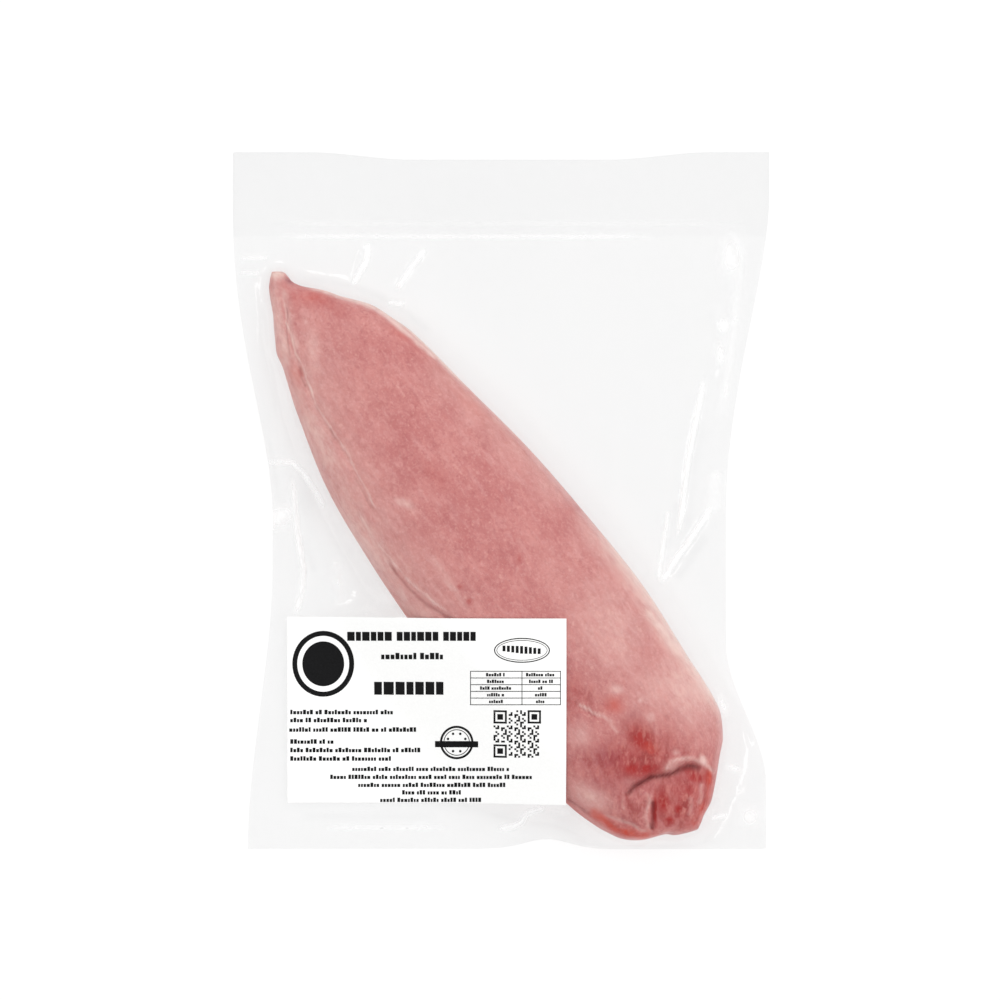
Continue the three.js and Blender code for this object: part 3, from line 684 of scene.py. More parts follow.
# %% Welds: faint ridges along the header seal, the bottom seal and the sides
WELDS = [  # path, height, half width
    ([(236, 222), (500, 222), (766, 222)], 0.5, 0.55), ([(237, 237), (500, 238), (764, 237)], 0.5, 0.55),
    ([(250, 834), (330, 822), (500, 826), (620, 846)], 0.5, 0.6),
    ([(262, 819), (420, 818), (512, 822)], 0.5, 0.6),
    ([(744, 232), (733, 330), (716, 420), (708, 500)], 0.45, 0.7),
    ([(252, 250), (276, 400), (286, 520)], 0.4, 0.7)]
welds = np.zeros(film_x.shape)
for path, high, half in WELDS:
    welds = np.maximum(welds, high * stroke(path, half, film_x, film_y, 0.06))

# %% Where glints are painted milky white on the film, and where it is darker: doubled, and in painted shade
# Painted glints: milky white strokes and spots on the folds, welds and crumples where light would glint; a sharp
# crease in film also whitens a little.
WHITENED_AND_GLINTS = [  # path, half width, strength
    (RIGHT_FOLD_LONG, 0.85, 0.8), (RIGHT_FOLD_SHORT, 0.8, 0.55), (RIGHT_FOLD_WIDE, 1.1, 0.8),
    (LEFT_FOLD, 1.0, 0.85), (LEFT_TUCK, 1.2, 0.65), ([(335, 560), (342, 604)], 2.4, 0.35),
    ([(241, 258), (267, 258)], 0.8, 0.5), ([(240, 272), (260, 273)], 0.8, 0.5),
    ([(368, 242), (366, 262), (353, 284)], 1.0, 0.75), ([(425, 249), (411, 268), (396, 290)], 1.0, 0.75),
    ([(388, 303), (404, 304)], 0.9, 0.6), ([(272, 223.5), (747, 223.5)], 0.8, 0.22),
    ([(272, 236), (657, 236)], 0.9, 0.4),
    ([(498, 829), (513, 827), (522, 822), (527, 812), (546, 806)], 1.0, 0.8),
    ([(325, 828), (447, 828)], 0.9, 0.4), ([(711, 818), (727, 815)], 1.0, 0.7),
    ([(716, 470), (714, 512)], 3.0, 0.35), ([(742, 250), (734, 330), (722, 420)], 2.0, 0.3)]
WHITE_GLINT_SPOTS = [  # centre, radii, strength, turn
    ((732, 256), (4.0, 8.0), 0.55, 0), ((724, 326), (1.8, 2.4), 0.9, 0), ((721, 354), (1.5, 4.5), 0.6, 10),
    ((281, 517), (5.0, 4.0), 0.7, 20), ((750, 817), (4.0, 4.0), 0.5, 0), ((560, 812), (3.0, 1.6), 0.25, 10),
    ((722, 704), (1.5, 4.0), 0.4, 20), ((734, 768), (4.0, 1.4), 0.45, -20)]
# Darker film: painted shade along the meat's left edge, above its upper edge by the tip and on the dark side of
# the folds on the right, and darker bands along the bottom seal.
DOUBLED_AND_SHADED = [
    ([(700, 420), (692, 470), (687, 520), (683, 560)], 2.6, 0.55), ([(677, 500), (668, 550)], 1.5, 0.5),
    ([(706, 532), (690, 558), (674, 580)], 2.6, 0.7), ([(303, 540), (315, 573)], 1.5, 0.6),
    ([(300, 817), (440, 816)], 1.6, 0.4), ([(292, 400), (322, 490), (350, 545), (385, 598)], 4.0, 0.55),
    ([(300, 279), (330, 281), (362, 289), (398, 306), (432, 335)], 1.6, 0.5),
    ([(500, 841), (560, 842), (620, 846), (700, 845)], 1.5, 0.35)]
DOUBLED_AND_SHADED_SPOTS = [
    ((308, 498), (5.0, 9.0), 0.8, 15), ((566, 819), (8.0, 5.0), 0.8, -30), ((505, 815), (7.0, 3.0), 0.4, 0)]

# %% What lies under the upper sheet
SNUG = 0.18         # the film's inside is this far off the meat
UNDER_LABEL = 0.08  # and the film is this far under the label
STEEP_RIM = 3       # over this width inside its edge the meat is so steep that its neighbours count too
meat_under = np.where(inside, meat_top(film_t, film_q) + SNUG, 0)
steep = (beyond > -STEEP_RIM) & (beyond < 0)
spread = meat_under.copy()
for rows, columns in ((1, 0), (-1, 0), (0, 1), (0, -1)):
    spread = np.maximum(spread, np.roll(meat_under, (rows, columns), (0, 1)))
meat_under = np.where(steep, np.maximum(meat_under, lerp(meat_under, spread, 0.6)), meat_under)
under_sheet = bed_at(film_x, film_y) - UNDER_LABEL
held = (film_x > LABEL["left"]) & (film_x < LABEL["right"])
held = held & (film_y > LABEL["bottom"]) & (film_y < LABEL["top"])
floor_under = lower + SHEET_GAP + np.where(inside, 0, tents)
obstacle = np.maximum(np.maximum(meat_under, floor_under), np.where(held, under_sheet, 0))
print("obstacle's highest point, mm:", round(float(obstacle.max()), 2))

# %% Let the membrane settle
RIM_WIDTH, RIM_GAP = 4.0, 0.05  # over this width the two sheets come together, to this far from each other
SUCTION = 0.13   # how sharply it draws the film into a hollow curve
STEPS = 420
CRINKLE, FINE_CRINKLE = (0.16, 5.5, 8, 22), (0.1, 2.6, 3.4, 23)
SLACK_OVER, TENT_CREST = 6, 0.35
upper = obstacle.copy()
for step in range(STEPS):
    mean = upper.copy()
    beside = upper[:-2, 1:-1] + upper[2:, 1:-1] + upper[1:-1, :-2] + upper[1:-1, 2:]
    mean[1:-1, 1:-1] = beside / 4 - SUCTION / 4
    upper = np.where(held, under_sheet, np.maximum(obstacle, mean))
crinkle = ripples(CRINKLE, film_x, film_y) + ripples(FINE_CRINKLE, film_x, film_y)
slack = smooth(outside / SLACK_OVER) * (1 - held)
upper = upper + (welds + np.maximum(crinkle, 0) * slack) * (1 - held)
upper = upper + TENT_CREST * tents * (1 - held) * (outside > 0)
to_sides = np.minimum(u, 1 - u) * (film_x[:, -1:] - film_x[:, :1])
to_rim = np.minimum(to_sides, np.minimum(v, 1 - v) * (film_y[-1:] - film_y[:1]))
at_rim = lower + RIM_GAP
upper = np.where(inside | held, upper, at_rim + (upper - lower - RIM_GAP) * smooth(to_rim / RIM_WIDTH))
print("film's highest point, mm:", round(float(upper.max()), 2))

# %% [markdown]
# ## One closed film
# The two sheets share their rim, so the film is one closed skin with the meat inside, as a real bag is.
# The lower sheet needs half the detail, so it takes every second line of the grid, and its outermost
# cells also take the rim points in between, which leaves no gap.

# %% Number the points and join them
NEAR_RIM_GAP = 0.04
rim = border_of(film_x)
upper = np.where(rim, at_rim, upper)
shield = np.minimum(lower, upper - np.where(to_rim < RIM_WIDTH, NEAR_RIM_GAP, SHEET_GAP))
near_min = shield.copy()
for rows in (-1, 0, 1):
    for columns in (-1, 0, 1):
        near_min = np.minimum(near_min, np.roll(shield, (rows, columns), (0, 1)))
under_z = np.maximum(near_min, OFF_TABLE)
upper_number = np.arange(film_x.size).reshape(film_x.shape)
lower_number = -np.ones(film_x.shape, int)
inner = np.zeros(film_x.shape, bool)
inner[2:-2:2, 2:-2:2] = True
lower_number[inner] = film_x.size + np.arange(int(inner.sum()))
lower_number[rim] = upper_number[rim]
film_points = np.concatenate([np.stack([film_x, film_y, upper], -1).reshape(-1, 3),
                              np.stack([film_x[inner], film_y[inner], under_z[inner]], -1)])
film_faces = grid_faces(upper_number)
for j in range(0, ROWS, 2):
    for i in range(0, COLUMNS, 2):
        loop = [(j, i), (j + 2, i), (j + 2, i + 2), (j, i + 2)]
        middles = [(j + 1, i), (j + 2, i + 1), (j + 1, i + 2), (j, i + 1)]
        face = []
        for corner, middle in zip(loop, middles):
            face.append(int(lower_number[corner]))
            if rim[middle]:
                face.append(int(lower_number[middle]))
        film_faces.append(face)
film = new_piece("pouch_film", film_points, film_faces)
on_rim = np.zeros(len(film_points), bool)
on_rim[upper_number[rim]] = True
edge_ends = np.zeros(2 * len(film.data.edges), int)
film.data.edges.foreach_get("vertices", edge_ends)
sharp_edges = film.data.attributes.new("sharp_edge", "BOOLEAN", "EDGE")
sharp_edges.data.foreach_set("value", on_rim[edge_ends.reshape(-1, 2)].all(1))

# %% Fields on the film
CLING_OVER, FILM_WANDER = 5, 0.1
HEADER_TINT, HEADER_FROM, HEADER_OVER = 0.3, 113.3, 0.8
cling = np.where(inside, smooth(-beyond / CLING_OVER), 0)
header = HEADER_TINT * smooth((film_y - HEADER_FROM) / HEADER_OVER)
# The darker tint holds painted shade as well as doubled film.
doubled_and_shaded = np.maximum(header, field(DOUBLED_AND_SHADED, DOUBLED_AND_SHADED_SPOTS, film_x, film_y, FILM_WANDER)) * (1 - cling)
# The milky field paints the glints on the folds and welds.
whitened_and_glint = field(WHITENED_AND_GLINTS, WHITE_GLINT_SPOTS, film_x, film_y, FILM_WANDER) * (1 - cling) * (1 - held)
for name, values in dict(cling=cling, doubled_and_shaded=doubled_and_shaded, whitened_and_glint=whitened_and_glint).items():
    set_field(film, name, np.concatenate([values.ravel(), np.zeros(int(inner.sum()))]))
print("pouch_film:", len(film.data.vertices), "points,", len(film.data.polygons), "faces")

# %% [markdown]
# ## The label
# A paper sticker is a flat sheet that bends one way easily and keeps its edges straight. Its mesh is a
# thin closed sheet on the bed that was worked out above, with an extra line of points close to every
# edge, so that the cut edge looks soft instead of sharp.

# %% Label sheet
LABEL_STEP, EDGE_INSET, EDGE_ROUND = 1.0, 0.25, 0.06
PAPER = dict(under=0.02, thickness=0.36, wave=(0.03, 17, 13, 31))


def label_line(low, high):
    inner_line = np.linspace(low + EDGE_INSET, high - EDGE_INSET, int((high - low) / LABEL_STEP) + 1)
    return np.concatenate([[low], inner_line, [high]])


label_x, label_y = np.meshgrid(
    label_line(LABEL["left"], LABEL["right"]), label_line(LABEL["bottom"], LABEL["top"]))
label_z = bed_at(label_x, label_y) + PAPER["under"]
wave = ripples(PAPER["wave"], label_x, label_y)
paper_top = label_z + PAPER["thickness"] + wave - EDGE_ROUND * border_of(label_x)
rows, columns = label_x.shape
top_number = np.arange(rows * columns).reshape(rows, columns)
under_number = top_number + rows * columns
label_faces = grid_faces(top_number) + grid_faces(under_number, facing_up=False)
border = [(0, i) for i in range(columns - 1)] + [(j, columns - 1) for j in range(rows - 1)]
border += [(rows - 1, i) for i in range(columns - 1, 0, -1)] + [(j, 0) for j in range(rows - 1, 0, -1)]
for here, after in zip(border, border[1:] + border[:1]):
    corners = top_number[after], top_number[here], under_number[here], under_number[after]
    label_faces.append([int(corner) for corner in corners])
label_points = np.concatenate([np.stack([label_x, label_y, paper_top], -1).reshape(-1, 3),
                               np.stack([label_x, label_y, label_z], -1).reshape(-1, 3)])
label = new_piece("paper_label", label_points, label_faces)
print("paper_label:", rows, "x", columns, "points, from", round(float(label_z.min()), 1), "to",
      round(float(paper_top.max()), 1), "mm high")

# %% [markdown]
# ## What is printed on it
# The real label carries words, a mark, a picture, a table and a code. None of that may be read here, so
# each place gets plain marks of the same size and weight: short bars in groups for lines of words, a ring
# for the mark, an oval with a striped bar for the picture, ruled lines for the table, and blocks laid out
# by a rule. The bars repeat hundreds of times, so they are points with a size each, and Geometry Nodes
# put a small thin block on every point and press it down onto the label by a ray from above.

# %% Lists of marks: middle of each mark and its width and height, in picture points
marks = []


def on_label(places):
    """The places on the label that show at these places of the picture."""
    return places * (1 - bed_at(places[:, 0], places[:, 1]) / CAMERA_ABOVE)[:, None]


# a bar's width, the gap after it and the gap after a group, as shares of a line's height
LIGHT = dict(stem=0.6, gap=0.16, heights=[0.72, 0.72, 1.0])
HEAVY = dict(stem=0.74, gap=0.13, heights=None)
GROUP_GAP = 0.42


def words(x0, x1, y0, y1, seed, style=LIGHT):
    """A line of short bars in groups between x0 and x1."""
    chooser = np.random.default_rng(seed)
    tall = y1 - y0
    stem = tall * style["stem"]
    x, left_in_group = x0, chooser.integers(4, 9)
    while x + stem * 0.8 < x1:
        wide = stem * chooser.uniform(0.7, 1.15)
        high = tall * chooser.choice(style["heights"]) if style["heights"] else tall
        marks.append((x + wide / 2, y1 - high / 2, wide, high))
        x += wide + tall * style["gap"]
        left_in_group -= 1
        if left_in_group == 0:
            x += tall * GROUP_GAP
            left_in_group = chooser.integers(2, 10)


RULE_STEP = 6


def ruled(x0, y0, x1, y1, width):
    """A straight ruled line of short pieces end to end, so that it can bend with the paper."""
    pieces = max(1, int(max(x1 - x0, y1 - y0) / RULE_STEP))
    for k in range(pieces):
        xa, xb = (lerp(x0, x1, share / pieces) for share in (k, k + 1))
        ya, yb = (lerp(y0, y1, share / pieces) for share in (k, k + 1))
        marks.append(((xa + xb) / 2, (ya + yb) / 2, max(xb - xa, 0) + width, max(yb - ya, 0) + width))


words(347, 485, 632, 641, 1, HEAVY)
words(381, 445, 653, 659.5, 2)
words(374, 448, 682, 695, 3, HEAVY)
LEFT_LINES = [(290, 395, 710), (290, 366, 718), (289, 416, 727.5), (290, 333, 739.5), (290, 421, 748),
    (290, 391, 756.5)]
MIDDLE_LINES = [(352, 511, 767), (330, 532, 775), (358, 507, 783), (402, 461, 790.5), (380, 483, 798)]
for lines, tall, first_seed in ((LEFT_LINES, 4.6, 10), (MIDDLE_LINES, 4.4, 20)):
    for k, (x0, x1, y0) in enumerate(lines):
        words(x0, x1, y0, y0 + tall, first_seed + k)
print("marks for the lines of words:", len(marks))

# %% The table
TABLE = dict(left=470.5, right=560.5, divider=522, top=671.5, bottom=705, rows=5, rule=0.75, half_line=1.7)
row_height = (TABLE["bottom"] - TABLE["top"]) / TABLE["rows"]
for k in range(TABLE["rows"] + 1):
    y = TABLE["top"] + row_height * k
    ruled(TABLE["left"], y, TABLE["right"], y, TABLE["rule"])
for x in (TABLE["left"], TABLE["divider"], TABLE["right"]):
    ruled(x, TABLE["top"], x, TABLE["bottom"], TABLE["rule"])
for k, halves in enumerate([(10, 15), (9, 12), (16, 3), (9, 6), (7, 5)]):
    y = TABLE["top"] + row_height * (k + 0.5)
    for middle, half, first_seed in zip((496, 541), halves, (40, 50)):
        words(middle - half, middle + half, y - TABLE["half_line"], y + TABLE["half_line"], first_seed + k)

# %% A block pattern laid out by a rule, with three framed corners
CODE = dict(left=493.5, top=710.5, side=47.5, cells=25, frame=7)
cell = CODE["side"] / CODE["cells"]


FRAME_PARTS = ((0, 0, 7, 1), (0, 6, 7, 1), (0, 1, 1, 5), (6, 1, 1, 5), (2, 2, 3, 3))  # column, row, size


def code_block(column, row, wide=1, high=1):
    middle_x, middle_y = CODE["left"] + cell * (column + wide / 2), CODE["top"] + cell * (row + high / 2)
    marks.append((middle_x, middle_y, cell * wide, cell * high))


far = CODE["cells"] - CODE["frame"]
for column, row in ((0, 0), (far, 0), (0, far)):
    for right, down, wide, high in FRAME_PARTS:
        code_block(column + right, row + down, wide, high)
for row in range(CODE["cells"]):
    for column in range(CODE["cells"]):
        by_left, by_top = column <= CODE["frame"], row <= CODE["frame"]
        by_right, by_foot = column >= far - 1, row >= far - 1
        in_frame = (by_left and by_top) or (by_right and by_top) or (by_left and by_foot)
        if not in_frame and (column * column + 3 * row * column + 5 * row + 2 * column) % 7 in (0, 2, 5):
            code_block(column, row)
print("all marks:", len(marks))

# %% Round marks: a middle and two radii in picture points, and the width of the ring or None for a disc
shapes = []  # for each round mark its outer outline, and its inner one or None
RINGS = ((323, 664, 31, 33, 5), (323, 664, 21, 22.5, None), (522, 650.5, 28, 12.5, 1.1),
         (522, 650.5, 25.5, 10.2, 0.6), (456.6, 742.8, 16.8, 16.8, 2.2), (456.6, 742.8, 13.2, 13.2, 0.8))
STAMP = dict(x=456.6, y=742.8, dots=8, dots_at=9.4, dot=1.3, bar=(438, 744.5, 475, 744.5, 6.2))
STRIPES = dict(count=9, x=504, step=4.4, y=648.6, drop=0.35, wide=2.9, high=7.6, lower=0.5)


def oval(x, y, radius_x, radius_y, sides):
    a = np.linspace(0, 2 * math.pi, sides, endpoint=False)
    return np.stack([x + radius_x * np.cos(a), y + radius_y * np.sin(a)], 1)


def round_mark(x, y, radius_x, radius_y, ring=None, sides=48):
    inner = None if ring is None else oval(x, y, radius_x - ring, radius_y - ring, sides)
    shapes.append((oval(x, y, radius_x, radius_y, sides), inner))


for ring in RINGS:
    round_mark(*ring)
for k in range(STAMP["dots"]):
    a = 2 * math.pi * (k + 0.5) / STAMP["dots"]
    x, y = STAMP["x"] + STAMP["dots_at"] * math.cos(a), STAMP["y"] + STAMP["dots_at"] * math.sin(a)
    round_mark(x, y, STAMP["dot"], STAMP["dot"], sides=12)
ruled(*STAMP["bar"])
for k in range(STRIPES["count"]):
    x, y = STRIPES["x"] + STRIPES["step"] * k, STRIPES["y"] + STRIPES["drop"] * k
    high = STRIPES["high"] - abs(k - STRIPES["count"] // 2) * STRIPES["lower"]
    marks.append((x, y, STRIPES["wide"], high))
print("round marks:", len(shapes))


# %% Geometry Nodes: a thin block on each point, pressed down onto the label
def press_tree():
    tree = bpy.data.node_groups.new("press marks onto the label", "GeometryNodeTree")
    for name, kind in (("Geometry", "Geometry"), ("Label", "Object"), ("Ink Thickness", "Float"),
                       ("Lift", "Float"), ("Start Height", "Float"), ("Ink", "Material")):
        tree.interface.new_socket(name, in_out="INPUT", socket_type="NodeSocket" + kind)
    tree.interface.new_socket("Geometry", in_out="OUTPUT", socket_type="NodeSocketGeometry")
    add, link = tree.nodes.new, tree.links.new
    given, made = add("NodeGroupInput"), add("NodeGroupOutput")
    block = add("GeometryNodeMeshCube")
    block.inputs["Size"].default_value = (1, 1, 1)
    block.inputs["Vertices X"].default_value = 4
    block.inputs["Vertices Y"].default_value = 4
    size = add("GeometryNodeInputNamedAttribute")
    size.data_type = "FLOAT_VECTOR"
    size.inputs["Name"].default_value = "size"
    put = add("GeometryNodeInstanceOnPoints")
    link(given.outputs["Geometry"], put.inputs["Points"])
    link(block.outputs["Mesh"], put.inputs["Instance"])
    link(size.outputs["Attribute"], put.inputs["Scale"])
    real = add("GeometryNodeRealizeInstances")
    link(put.outputs["Instances"], real.inputs["Geometry"])
    where = add("GeometryNodeInputPosition")
    split, above = add("ShaderNodeSeparateXYZ"), add("ShaderNodeCombineXYZ")
    link(where.outputs["Position"], split.inputs["Vector"])
    link(split.outputs["X"], above.inputs["X"])
    link(split.outputs["Y"], above.inputs["Y"])
    link(given.outputs["Start Height"], above.inputs["Z"])
    target = add("GeometryNodeObjectInfo")
    link(given.outputs["Label"], target.inputs["Object"])
    ray = add("GeometryNodeRaycast")
    link(target.outputs["Geometry"], ray.inputs["Target Geometry"])
    link(above.outputs["Vector"], ray.inputs["Source Position"])
    ray.inputs["Ray Direction"].default_value = (0, 0, -1)
    ray.inputs["Ray Length"].default_value = 1.0
    hit = add("ShaderNodeSeparateXYZ")
    link(ray.outputs["Hit Position"], hit.inputs["Vector"])
    thick = add("ShaderNodeMath")
    thick.operation = "MULTIPLY_ADD"  # the block's own height, half above and half below its middle
    link(split.outputs["Z"], thick.inputs[0])
    link(given.outputs["Ink Thickness"], thick.inputs[1])
    link(given.outputs["Lift"], thick.inputs[2])
    total, down = add("ShaderNodeMath"), add("ShaderNodeCombineXYZ")
    link(hit.outputs["Z"], total.inputs[0])
    link(thick.outputs["Value"], total.inputs[1])
    link(split.outputs["X"], down.inputs["X"])
    link(split.outputs["Y"], down.inputs["Y"])
    link(total.outputs["Value"], down.inputs["Z"])
    move, colour = add("GeometryNodeSetPosition"), add("GeometryNodeSetMaterial")
    link(real.outputs["Geometry"], move.inputs["Geometry"])
    link(down.outputs["Vector"], move.inputs["Position"])
    link(move.outputs["Geometry"], colour.inputs["Geometry"])
    link(given.outputs["Ink"], colour.inputs["Material"])
    link(colour.outputs["Geometry"], made.inputs["Geometry"])
    return tree


print("tree made with", len(press_tree().nodes), "nodes")

# %% Run it, and keep the result as a plain mesh
INK_THICKNESS, INK_LIFT = 0.03, 0.025  # millimetres
START_HEIGHT = 0.2                     # metres above the table, where the rays start
printing_ink = bpy.data.materials.new("printing ink")
mark_middles = on_label(spot([m[:2] for m in marks]))
mark_mesh = bpy.data.meshes.new("mark points")
mark_mesh.from_pydata([(x * METRE, y * METRE, 0) for x, y in mark_middles], [], [])
sizes = mark_mesh.attributes.new("size", "FLOAT_VECTOR", "POINT")
mark_sizes = [[wide * POINT * METRE, high * POINT * METRE, 1.0] for _, _, wide, high in marks]
sizes.data.foreach_set("vector", np.array(mark_sizes, np.float32).ravel())
mark_points = bpy.data.objects.new("mark points", mark_mesh)
bpy.context.scene.collection.objects.link(mark_points)
press = mark_points.modifiers.new("press", "NODES")
press.node_group = bpy.data.node_groups["press marks onto the label"]
inputs = {s.name: s.identifier for s in press.node_group.interface.items_tree if s.in_out == "INPUT"}
for name, value in (("Label", label), ("Ink Thickness", INK_THICKNESS * METRE), ("Lift", INK_LIFT * METRE),
                    ("Start Height", START_HEIGHT), ("Ink", printing_ink)):
    press[inputs[name]] = value
bpy.context.view_layer.update()
pressed = bpy.data.meshes.new_from_object(mark_points.evaluated_get(bpy.context.evaluated_depsgraph_get()))
pressed.name = "label_marks"
label_marks = bpy.data.objects.new("label_marks", pressed)
bpy.context.scene.collection.objects.link(label_marks)
bpy.data.objects.remove(mark_points)
print("label_marks:", len(pressed.vertices), "points,", len(pressed.polygons), "faces")


# %% The round marks, as thin closed plates and rings
def paper_height(x, y):
    return bed_at(x, y) + PAPER["under"] + PAPER["thickness"] + ripples(PAPER["wave"], x, y)


plate_points, plate_faces = [], []
for outer, inner in shapes:
    rings = [on_label(spot(outer))]
    if inner is None:
        middle = rings[0].mean(0)
        rings += [lerp(middle, rings[0], s) for s in (0.75, 0.5, 0.25)]
    else:
        rings.append(on_label(spot(inner)))
    start, sides, count = len(plate_points), len(outer), len(rings)
    for lifted in (INK_LIFT + INK_THICKNESS / 2, INK_LIFT - INK_THICKNESS / 2):
        for ring in rings:
            height = paper_height(ring[:, 0], ring[:, 1]) + lifted
            plate_points += [(x, y, z) for (x, y), z in zip(ring, height)]
    at = lambda layer, ring, k: start + (layer * count + ring) * sides + k % sides
    quad = lambda *corners: plate_faces.append([at(*corner) for corner in corners])
    inmost = count - 1
    for k in range(sides):
        for ring in range(inmost):
            quad((0, ring, k), (0, ring + 1, k), (0, ring + 1, k + 1), (0, ring, k + 1))
            quad((1, ring, k), (1, ring, k + 1), (1, ring + 1, k + 1), (1, ring + 1, k))
        quad((0, 0, k), (0, 0, k + 1), (1, 0, k + 1), (1, 0, k))
        if inner is not None:
            quad((0, inmost, k), (1, inmost, k), (1, inmost, k + 1), (0, inmost, k + 1))
    if inner is None:
        plate_faces.append([at(0, inmost, k) for k in range(sides)][::-1])
        plate_faces.append([at(1, inmost, k) for k in range(sides)])
label_rings = new_piece("label_rings", plate_points, plate_faces, smooth_faces=False)

# %% Turn every face outward
for piece in (label_rings, meat, film, label):
    shell = bmesh.new()
    shell.from_mesh(piece.data)
    bmesh.ops.recalc_face_normals(shell, faces=shell.faces[:])
    shell.to_mesh(piece.data)
    shell.free()
print("label_rings:", len(label_rings.data.polygons), "faces")

# %% [markdown]
# ## Finishes
# Meat is wet, a little see-through and streaked along its fibres. Its colour is mixed in layers: soft
# clouds, streaks in the direction of the muscle, the named fields from the mesh with their painted shade
# and glare, and a coarse mottling where fibres are cut across. The film is nearly clear: it lets light
# through with a slight tint, darker where it is doubled and where shade is painted on it, adds a thin
# gloss, less of it where it clings to the wet meat, and is painted milky white where its folds and welds
# would glint. Paper is matt white and ink is matt black.

# %% Helpers for materials
def paint(red, green, blue):
    """A colour as a picture shows it, 0 to 255, as the linear colour that Blender uses."""
    c = np.array([red, green, blue]) / 255
    c = np.where(c <= 0.04045, c / 12.92, ((c + 0.055) / 1.055) ** 2.4)
    return (float(c[0]), float(c[1]), float(c[2]), 1.0)


class Finish:
    """A material and short ways to add its nodes."""

    def __init__(self, name):
        self.material = bpy.data.materials.get(name) or bpy.data.materials.new(name)
        self.material.use_nodes = True
        self.tree = self.material.node_tree
        self.shader = self.tree.nodes["Principled BSDF"]
        self.output = self.tree.nodes["Material Output"]

    def add(self, kind, inputs=None, **facts):
        node = self.tree.nodes.new(kind)
        for name, value in facts.items():
            setattr(node, name, value)
        for name, value in (inputs or {}).items():
            if isinstance(value, bpy.types.NodeSocket):
                self.tree.links.new(value, node.inputs[name])
            else:
                node.inputs[name].default_value = value
        return node

    def link(self, a, b):
        self.tree.links.new(a, b)

    def pattern(self, scale, turn=0.0):
        """Object coordinates, turned and scaled; `scale` is in patterns to a metre along each axis."""
        place = self.add("ShaderNodeTexCoord")
        turned = self.add("ShaderNodeMapping", {"Vector": place.outputs["Object"], "Rotation": (0, 0, turn)})
        sized = self.add("ShaderNodeMapping", {"Vector": turned.outputs["Vector"], "Scale": scale})
        return sized.outputs["Vector"]

    def noise(self, vector, detail=3.0, rough=0.55, low=0.35, high=0.65):
        """Noise stretched to run from 0 to 1 between low and high."""
        facts = {"Vector": vector, "Scale": 1.0, "Detail": detail, "Roughness": rough}
        facts = {"Value": self.add("ShaderNodeTexNoise", facts).outputs["Fac"], "From Min": low, "From Max": high}
        return self.add("ShaderNodeMapRange", facts).outputs["Result"]

    def between(self, value, low, high):
        return self.add("ShaderNodeMapRange", {"Value": value, "To Min": low, "To Max": high}).outputs["Result"]

    def bump(self, height, strength, distance):
        facts = {"Height": height, "Strength": strength, "Distance": distance}
        return self.add("ShaderNodeBump", facts).outputs["Normal"]

    def maths(self, operation, *values, clamp=False):
        node = self.add("ShaderNodeMath", dict(enumerate(values)), operation=operation, use_clamp=clamp)
        return node.outputs["Value"]

    def blend(self, share, first, second):
        """One shader over another."""
        return self.add("ShaderNodeMixShader", {"Fac": share, 1: first, 2: second}).outputs["Shader"]

    def mix(self, factor, a, b):
        node = self.add("ShaderNodeMix", data_type="RGBA")
        for socket, value in ((node.inputs["Factor"], factor), (node.inputs[6], a), (node.inputs[7], b)):
            if isinstance(value, bpy.types.NodeSocket):
                self.link(value, socket)
            else:
                socket.default_value = value
        return node.outputs[2]

    def scaled(self, value, factor):
        return self.maths("MULTIPLY", value, factor, clamp=True)

    def field(self, name):
        return self.add("ShaderNodeAttribute", attribute_name=name, attribute_type="GEOMETRY").outputs["Fac"]

    def set(self, **values):
        """Constants on the shader's own sockets; `Specular_IOR_Level` stands for "Specular IOR Level"."""
        for name, value in values.items():
            self.shader.inputs[name.replace("_", " ")].default_value = value

    def feed(self, **values):
        """The same for sockets that a node feeds."""
        for name, value in values.items():
            self.link(value, self.shader.inputs[name.replace("_", " ")])


# %% Raw pork
FIBRE_TURN = -math.atan2(AXIS[1], AXIS[0])  # turns the muscle's line onto X
PORK_SHADE = 0.89                           # the studio is bright, so the meat's colours are darkened


def pork_paint(colour):
    return tuple(PORK_SHADE * c for c in paint(*colour)[:3]) + (1.0,)


def layered(finish, colour, layers, rough, turn=0.0, within=None):
    """The colour with a noise pattern laid over it for each row, everywhere or within a field."""
    for scale, detail, low, high, strength, tone in layers:
        share = finish.scaled(finish.noise(finish.pattern(scale, turn), detail, rough, low, high), strength)
        if within:
            share = finish.scaled(share, finish.field(within))
        colour = finish.mix(share, colour, pork_paint(tone))
    return colour


pork = Finish("raw pork")
cloudy = pork.noise(pork.pattern((60, 85, 70), FIBRE_TURN), 4, 0.6, 0.32, 0.68)
pork_colour = pork.mix(cloudy, pork_paint((201, 121, 119)), pork_paint((219, 147, 142)))
LAYERS = [  # patterns to a metre along the fibre, across and up; detail; low; high; strength; colour
    ((110, 170, 160), 4, 0.47, 0.74, 0.42, (191, 109, 109)),
    ((75, 300, 250), 3, 0.52, 0.76, 0.32, (230, 174, 170)),
    ((330, 400, 380), 3, 0.5, 0.72, 0.42, (232, 168, 162)),
    ((360, 470, 420), 3, 0.52, 0.74, 0.4, (180, 93, 94)),
    ((820, 950, 900), 2, 0.52, 0.74, 0.26, (238, 188, 182)),
    ((900, 1000, 950), 2, 0.54, 0.76, 0.26, (178, 90, 92)),
    ((260, 300, 280), 2, 0.66, 0.74, 0.32, (240, 184, 172))]
pork_colour = layered(pork, pork_colour, LAYERS, 0.58, FIBRE_TURN)
